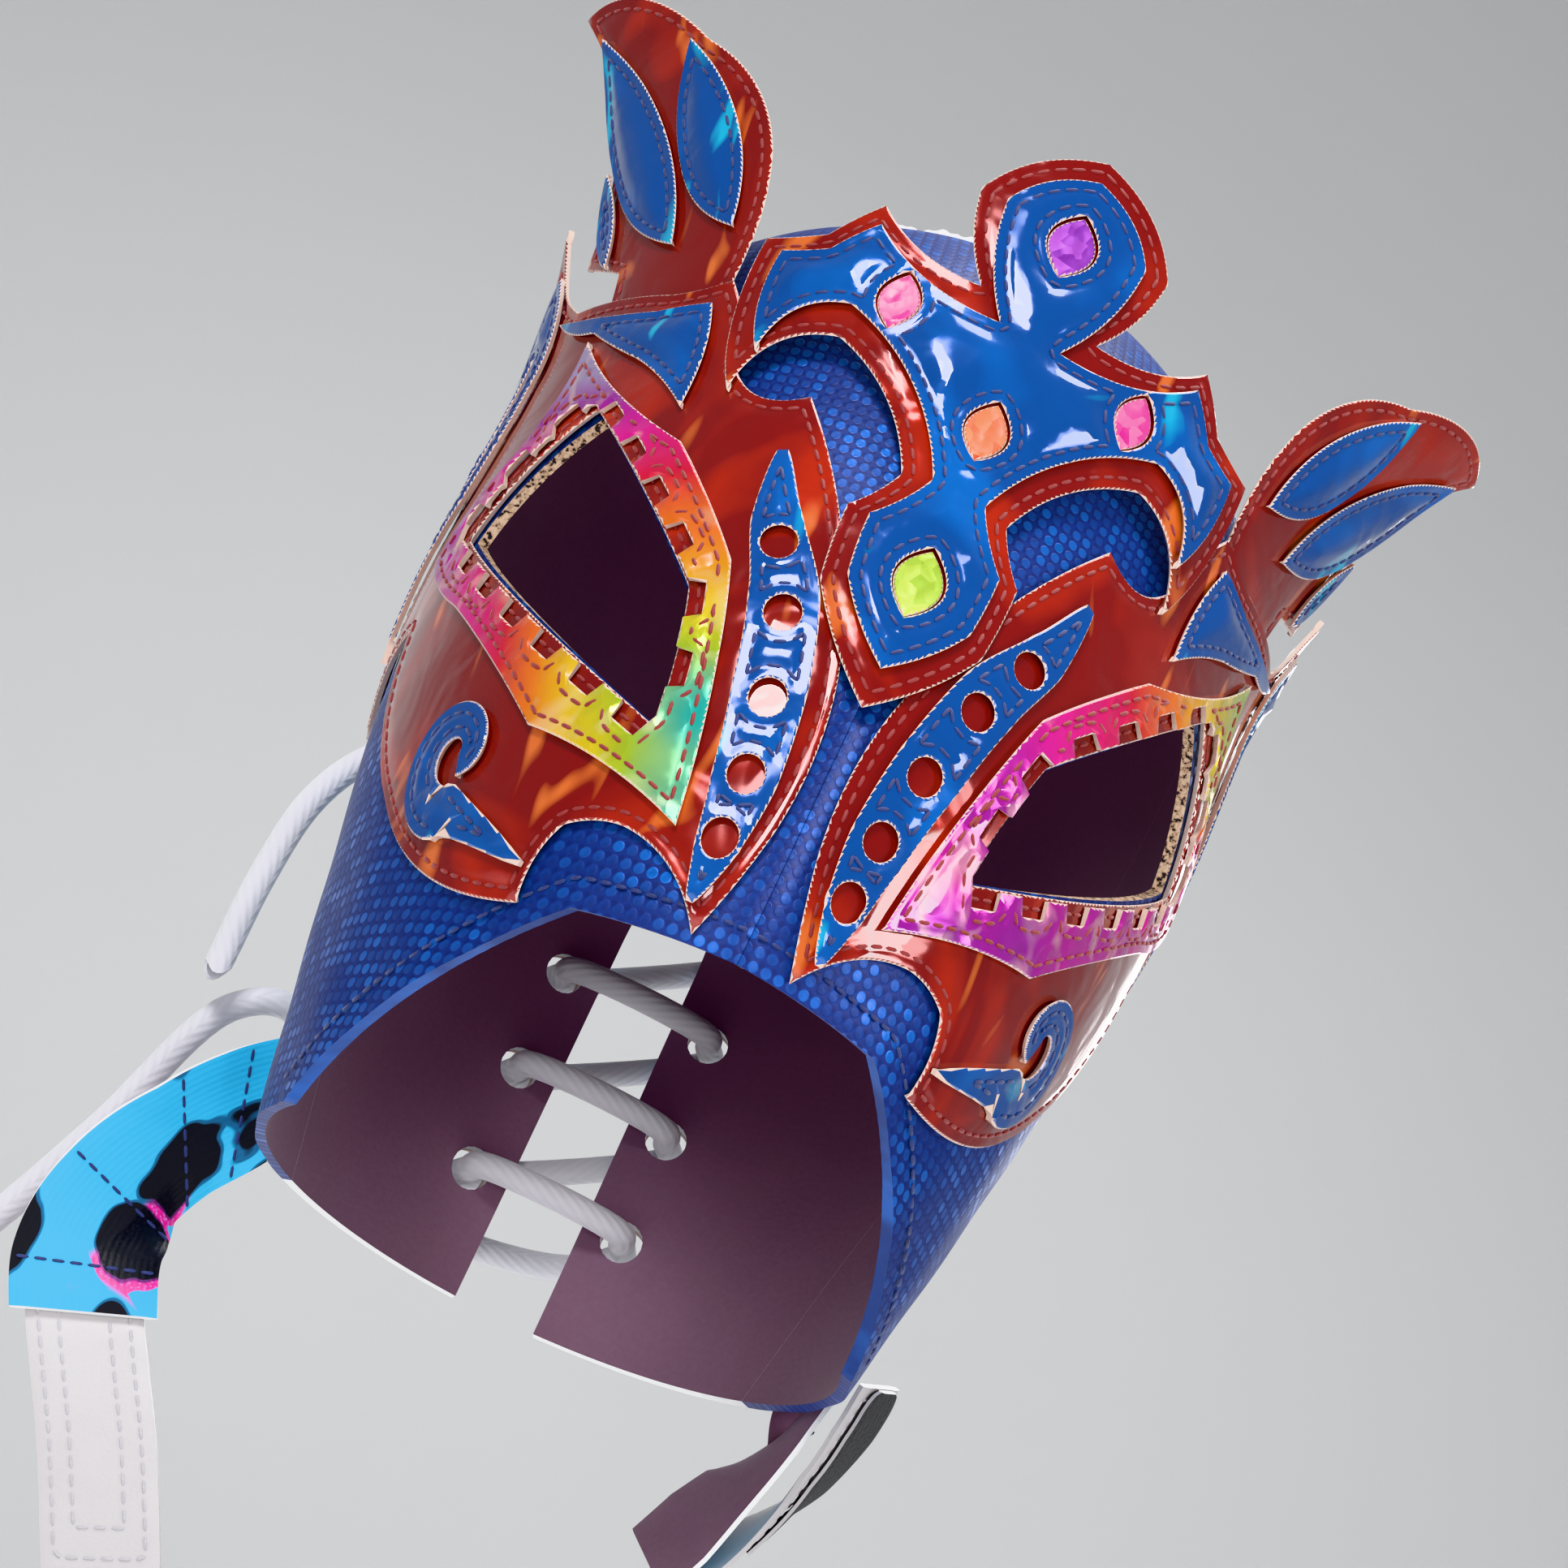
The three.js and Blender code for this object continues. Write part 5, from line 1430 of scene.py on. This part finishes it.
class Ribbon:
    """A flat ribbon along rows of places, each with the direction across it."""

    def __init__(self, root, rows, width, thick, start=0.0, stop=1.0, shift=0.0, end=1.0):
        rows = np.array(rows, float)
        self.path = root + rows[:, :3]
        self.across = rows[:, 3:] / np.linalg.norm(rows[:, 3:], axis=1, keepdims=True)
        self.width, self.thick, self.start, self.stop = width, thick, start, stop
        self.shift, self.end = shift, end
        fine = np.array([centripetal(self.path, start + k / 200 * (stop - start)) for k in range(201)])
        self.length = float(np.sum(np.linalg.norm(np.diff(fine, axis=0), axis=1)))

    def frame(self, along):
        last = len(self.path) - 1
        at = self.start + along * (self.stop - self.start)
        k = min(last - 1, int(at * last))
        wide = self.across[k] + (self.across[k + 1] - self.across[k]) * (at * last - k)
        wide /= np.linalg.norm(wide)
        ahead = centripetal(self.path, min(1, at + 1e-3)) - centripetal(self.path, max(0, at - 1e-3))
        face = np.cross(wide, ahead)
        face /= np.linalg.norm(face)
        rounding = min(1.0, (1 - along) / 0.15)
        half = self.width / 2 * (self.end + (1 - self.end) * math.sqrt(max(0, 1 - (1 - rounding) ** 2)))
        return centripetal(self.path, at), wide, face, half

    def place(self, flat, out):
        """Lay (across, along) in millimetres on the outer face, out above it."""
        points = []
        for (x, y), height in zip(flat, np.broadcast_to(out, len(flat))):
            middle, wide, face, _ = self.frame(np.clip(y / self.length, 0, 1))
            points.append(middle + wide * x + face * (self.shift + self.thick / 2 + height))
        return (np.array(points) + (0, 0, LIFT)) * MM

    def piece(self, name, finishes_, columns=60, rows=12):
        def lay(along, over, side):
            points, flat = [], []
            for a, o in zip(along, over):
                middle, wide, face, half = self.frame(a)
                x = (2 * o - 1) * half
                edge = 1 - max(0.0, (abs(2 * o - 1) - 0.9) / 0.1) ** 2 * 0.45
                away = self.shift + (side - 0.5) * self.thick * edge
                points.append(middle + wide * x + face * away)
                flat.append((x, a * self.length))
            return (np.array(points) + (0, 0, LIFT)) * MM, np.array(flat) * MM

        return wall_piece(name, columns, rows, lay, finishes_)


class MASK_OT_straps(bpy.types.Operator):
    """Lay the neck straps with their tabs and the hook strip"""

    bl_idname = "mask.straps"
    bl_label = "Straps and tabs"

    def execute(self, context):
        cloth = [printed_cloth(), raw_edge(), lining()]
        strap_left = Ribbon(LEFT_ROOT, LEFT_RUN, STRAP_WIDE, STRAP_THICK, 0, 0.56)
        strap_right = Ribbon(RIGHT_ROOT, RIGHT_RUN, STRAP_WIDE, STRAP_THICK)
        lap = (STRAP_THICK + TAB_THICK) / 2 + 0.3
        tab_left = Ribbon(LEFT_ROOT, LEFT_RUN, TAB_WIDE, TAB_THICK, 0.46, 1.0, -lap)
        tab_right = Ribbon(RIGHT_ROOT, FOLDED_RUN, TAB_WIDE, TAB_THICK)
        seat = (TAB_THICK + HOOK_THICK) / 2 + 0.45
        hook = Ribbon(RIGHT_ROOT, FOLDED_RUN, HOOK_WIDE, HOOK_THICK, 0.3, 1.0, seat, 0.55)
        for name, ribbon in (("strap_left", strap_left), ("strap_right", strap_right)):
            piece = ribbon.piece(name + "_cloth", cloth)
            smooth(piece, 45)
            keep(piece, "printed_cloth", name)
            lines = [np.column_stack([np.linspace(-12.5, 12.5, 40), np.full(40, y)]) for y in (8, 20, 36, 52, 66)]
            lines = [line for line in lines if line[0, 1] < ribbon.length - 4]
            stitches(f"{name}_stitches", lines, ribbon.place, 0.05, "navy", ("right",))
        for name, ribbon in (("tab_left", tab_left), ("tab_right", tab_right)):
            piece = ribbon.piece(name + "_vinyl", [white_vinyl()] * 3, 70, 12)
            smooth(piece, 45)
            keep(piece, "white_vinyl", name)
            frames = []
            for inset_, start in ((2.4, 3.0), (6.0, 8.0)):
                x, y0, y1 = ribbon.width / 2 - inset_, start, ribbon.length - start
                frames.append(np.array([(-x, y0), (x, y0), (x, y1), (-x, y1), (-x, y0)]))
            stitches(f"{name}_stitches", [along_corners(f) for f in frames], ribbon.place, 0.02, "grey", ("right",))
        piece = hook.piece("hook_strip_right_tape", [hook_tape(), white_vinyl(), hook_tape()], 50, 10)
        smooth(piece, 45)
        keep(piece, "hook_tape", "hook_strip_right")
        return {"FINISHED"}


class MASK_OT_trims(bpy.types.Operator):
    """Sew the crown welt and the iridescent strips"""

    bl_idname = "mask.trims"
    bl_label = "Welt and side strips"

    def execute(self, context):
        turn, drop = seam_points(400, -0.2)
        walk = HEAD_FORM.bare(turn, drop)
        order = walk[:, 0] <= 60

        def welt(along, over, side):
            x = WELT_HALF * (2 * along - 1)
            taper = 1 - 0.75 * np.abs(2 * along - 1) ** 3
            low = -np.interp(np.abs(x), walk[order, 0], walk[order, 2])
            wave = 0.35 * np.sin(x * 0.9) + 0.25 * np.sin(x * 2.3 + 1)
            y = seam_depth(low) + (side - 0.5) * 1.8 + 0.35 * np.sin(x * 0.5) * (1 - over)
            z = 0.6 - low + (1 - over) * WELT_TALL * taper + wave * (1 - over)
            points = np.stack([x, y, z + LIFT], -1) * MM
            return points, np.stack([x, over * WELT_TALL], -1) * MM

        piece = wall_piece("crown_welt_edge", 90, 6, welt, [raw_edge()] * 3)
        smooth(piece, 50)
        keep(piece, "raw_edge", "crown_welt")

        def strip(along, over, side):
            low = FOIL_TOP + (FOIL_END - FOIL_TOP) * over
            around = seam_turn(low, -0.4) - along * FOIL_WIDE / WRAP
            out = 0.45 + side * 0.6 + side * 0.3 * np.sin(low * 0.35) * along
            return HEAD_FORM.at_turn(around, low, out), np.stack([along * FOIL_WIDE, low], -1) * MM

        piece = wall_piece("side_strip_right_foil", 8, 50, strip, [clear_foil(), cut_foam(), clear_foil()])
        other = mirror_piece(piece, "side_strip_left_foil")
        for one, node in ((piece, "side_strip_right"), (other, "side_strip_left")):
            smooth(one, 45)
            keep(one, "clear_foil", node)
        return {"FINISHED"}


class MASK_OT_lacing(bpy.types.Operator):
    """Face the slit at the back and lace it up"""

    bl_idname = "mask.lacing"
    bl_label = "Back lacing"

    def execute(self, context):
        outline = bowed([(1.5, 64, 0), (16.5, 64, 0), (16.5, 196, 0), (1.5, 196, 0)])
        loops = [outline, *[ring(spot, EYELET_RADIUS) for spot in EYELETS]]
        vinyl_face = [white_vinyl(), "white_vinyl", "white"]
        stitched_plate("eyelet_facing", loops, along_slit, *FACING, *vinyl_face, step=2.0)
        away = LACE_CLEAR + sizes().lace_diameter / MM / 2
        depths = [FACING[1] + away, -1.0, -HOOD_WALL - away]
        route = []
        for spot in np.array(EYELETS):
            route += [along_slit(spot[None], np.array([out]))[0] * (-1, 1, 1) for out in depths]
            route += [along_slit(spot[None], np.array([out]))[0] for out in reversed(depths)]
        route = np.array(route)
        count = 10 * (len(route) - 1)
        path = np.array([centripetal(route / MM, k / count) * MM for k in range(count + 1)])
        piece = tube("lacing_cord", path, sizes().lace_diameter / 2, [lace_cloth()])
        keep(piece, "lace_cloth", "lacing")
        return {"FINISHED"}


class MASK_OT_stage(bpy.types.Operator):
    """Set the pale floor, the backdrop and the soft studio lights"""

    bl_idname = "mask.stage"
    bl_label = "Stage"

    def execute(self, context):
        scene = context.scene
        floor = -sizes().floor_drop
        sheets = []
        for name, place, tilt in (("floor", (0, 0, floor), 0), ("backdrop", (0, 2.6, floor + 4.4), math.pi / 2)):
            bpy.ops.object.select_all(action="DESELECT")
            bpy.ops.mesh.primitive_plane_add(size=9, location=place, rotation=(tilt, 0, 0))
            sheets.append(context.active_object)
            sheets[-1].name = name
            sheets[-1].data.materials.append(floor_paint())
            bpy.ops.object.transform_apply(location=True, rotation=True, scale=True)
        lights = [
            ("key", (-0.7, -1.5, 0.75), 0.5, 30),
            ("fill", (1.3, -1.1, 0.2), 0.5, 14),
            ("low", (-0.2, -1.4, -0.3), 0.25, 3),
            ("top", (0.1, -0.2, 1.5), 0.8, 24),
            ("rim", (0.4, 1.4, 0.6), 0.8, 14),
        ]
        for name, place, size, power in lights:
            lamp = bpy.data.lights.new(name, "AREA")
            lamp.size = size
            lamp.energy = power
            light = bpy.data.objects.new(name, lamp)
            light.location = place
            aim = Vector((0, 0, -0.12)) - Vector(place)
            light.rotation_euler = aim.to_track_quat("-Z", "Y").to_euler()
            scene.collection.objects.link(light)
        world = bpy.data.worlds.new("studio")
        world.use_nodes = True
        world.node_tree.nodes["Background"].inputs["Color"].default_value = (0.85, 0.87, 0.9, 1)
        world.node_tree.nodes["Background"].inputs["Strength"].default_value = 0.4
        scene.world = world
        scene.view_settings.view_transform = "Khronos PBR Neutral"
        return {"FINISHED"}


class MASK_PT_panel(bpy.types.Panel):
    """Builds the pieces of the mask"""

    bl_idname = "MASK_PT_panel"
    bl_label = "Wrestling Mask"
    bl_space_type = "VIEW_3D"
    bl_region_type = "UI"
    bl_category = "Mask"

    def draw(self, context):
        for group in (context.scene.mask_sizes, context.scene.mask_colours):
            box = self.layout.box()
            for key in group.__annotations__:
                box.prop(group, key)
        for operator in OPERATORS:
            self.layout.operator(operator.bl_idname)


OPERATORS = (
    MASK_OT_camera, MASK_OT_laces, MASK_OT_hood, MASK_OT_eye_plates, MASK_OT_horns, MASK_OT_crest,
    MASK_OT_straps, MASK_OT_trims, MASK_OT_lacing, MASK_OT_stage,
)
CLASSES = (MaskSizes, MaskColours, *OPERATORS, MASK_PT_panel)


def register():
    for one in CLASSES:
        bpy.utils.register_class(one)
    bpy.types.Scene.mask_sizes = bpy.props.PointerProperty(type=MaskSizes)
    bpy.types.Scene.mask_colours = bpy.props.PointerProperty(type=MaskColours)


def unregister():
    del bpy.types.Scene.mask_sizes
    del bpy.types.Scene.mask_colours
    for one in reversed(CLASSES):
        bpy.utils.unregister_class(one)


def main():
    register()
    bpy.ops.mask.camera()
    bpy.ops.mask.laces()
    bpy.ops.mask.hood()
    bpy.ops.mask.eye_plates()
    bpy.ops.mask.horns()
    bpy.ops.mask.crest()
    bpy.ops.mask.straps()
    bpy.ops.mask.trims()
    bpy.ops.mask.lacing()
    bpy.ops.mask.stage()
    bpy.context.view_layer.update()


if __name__ == "__main__":
    main()
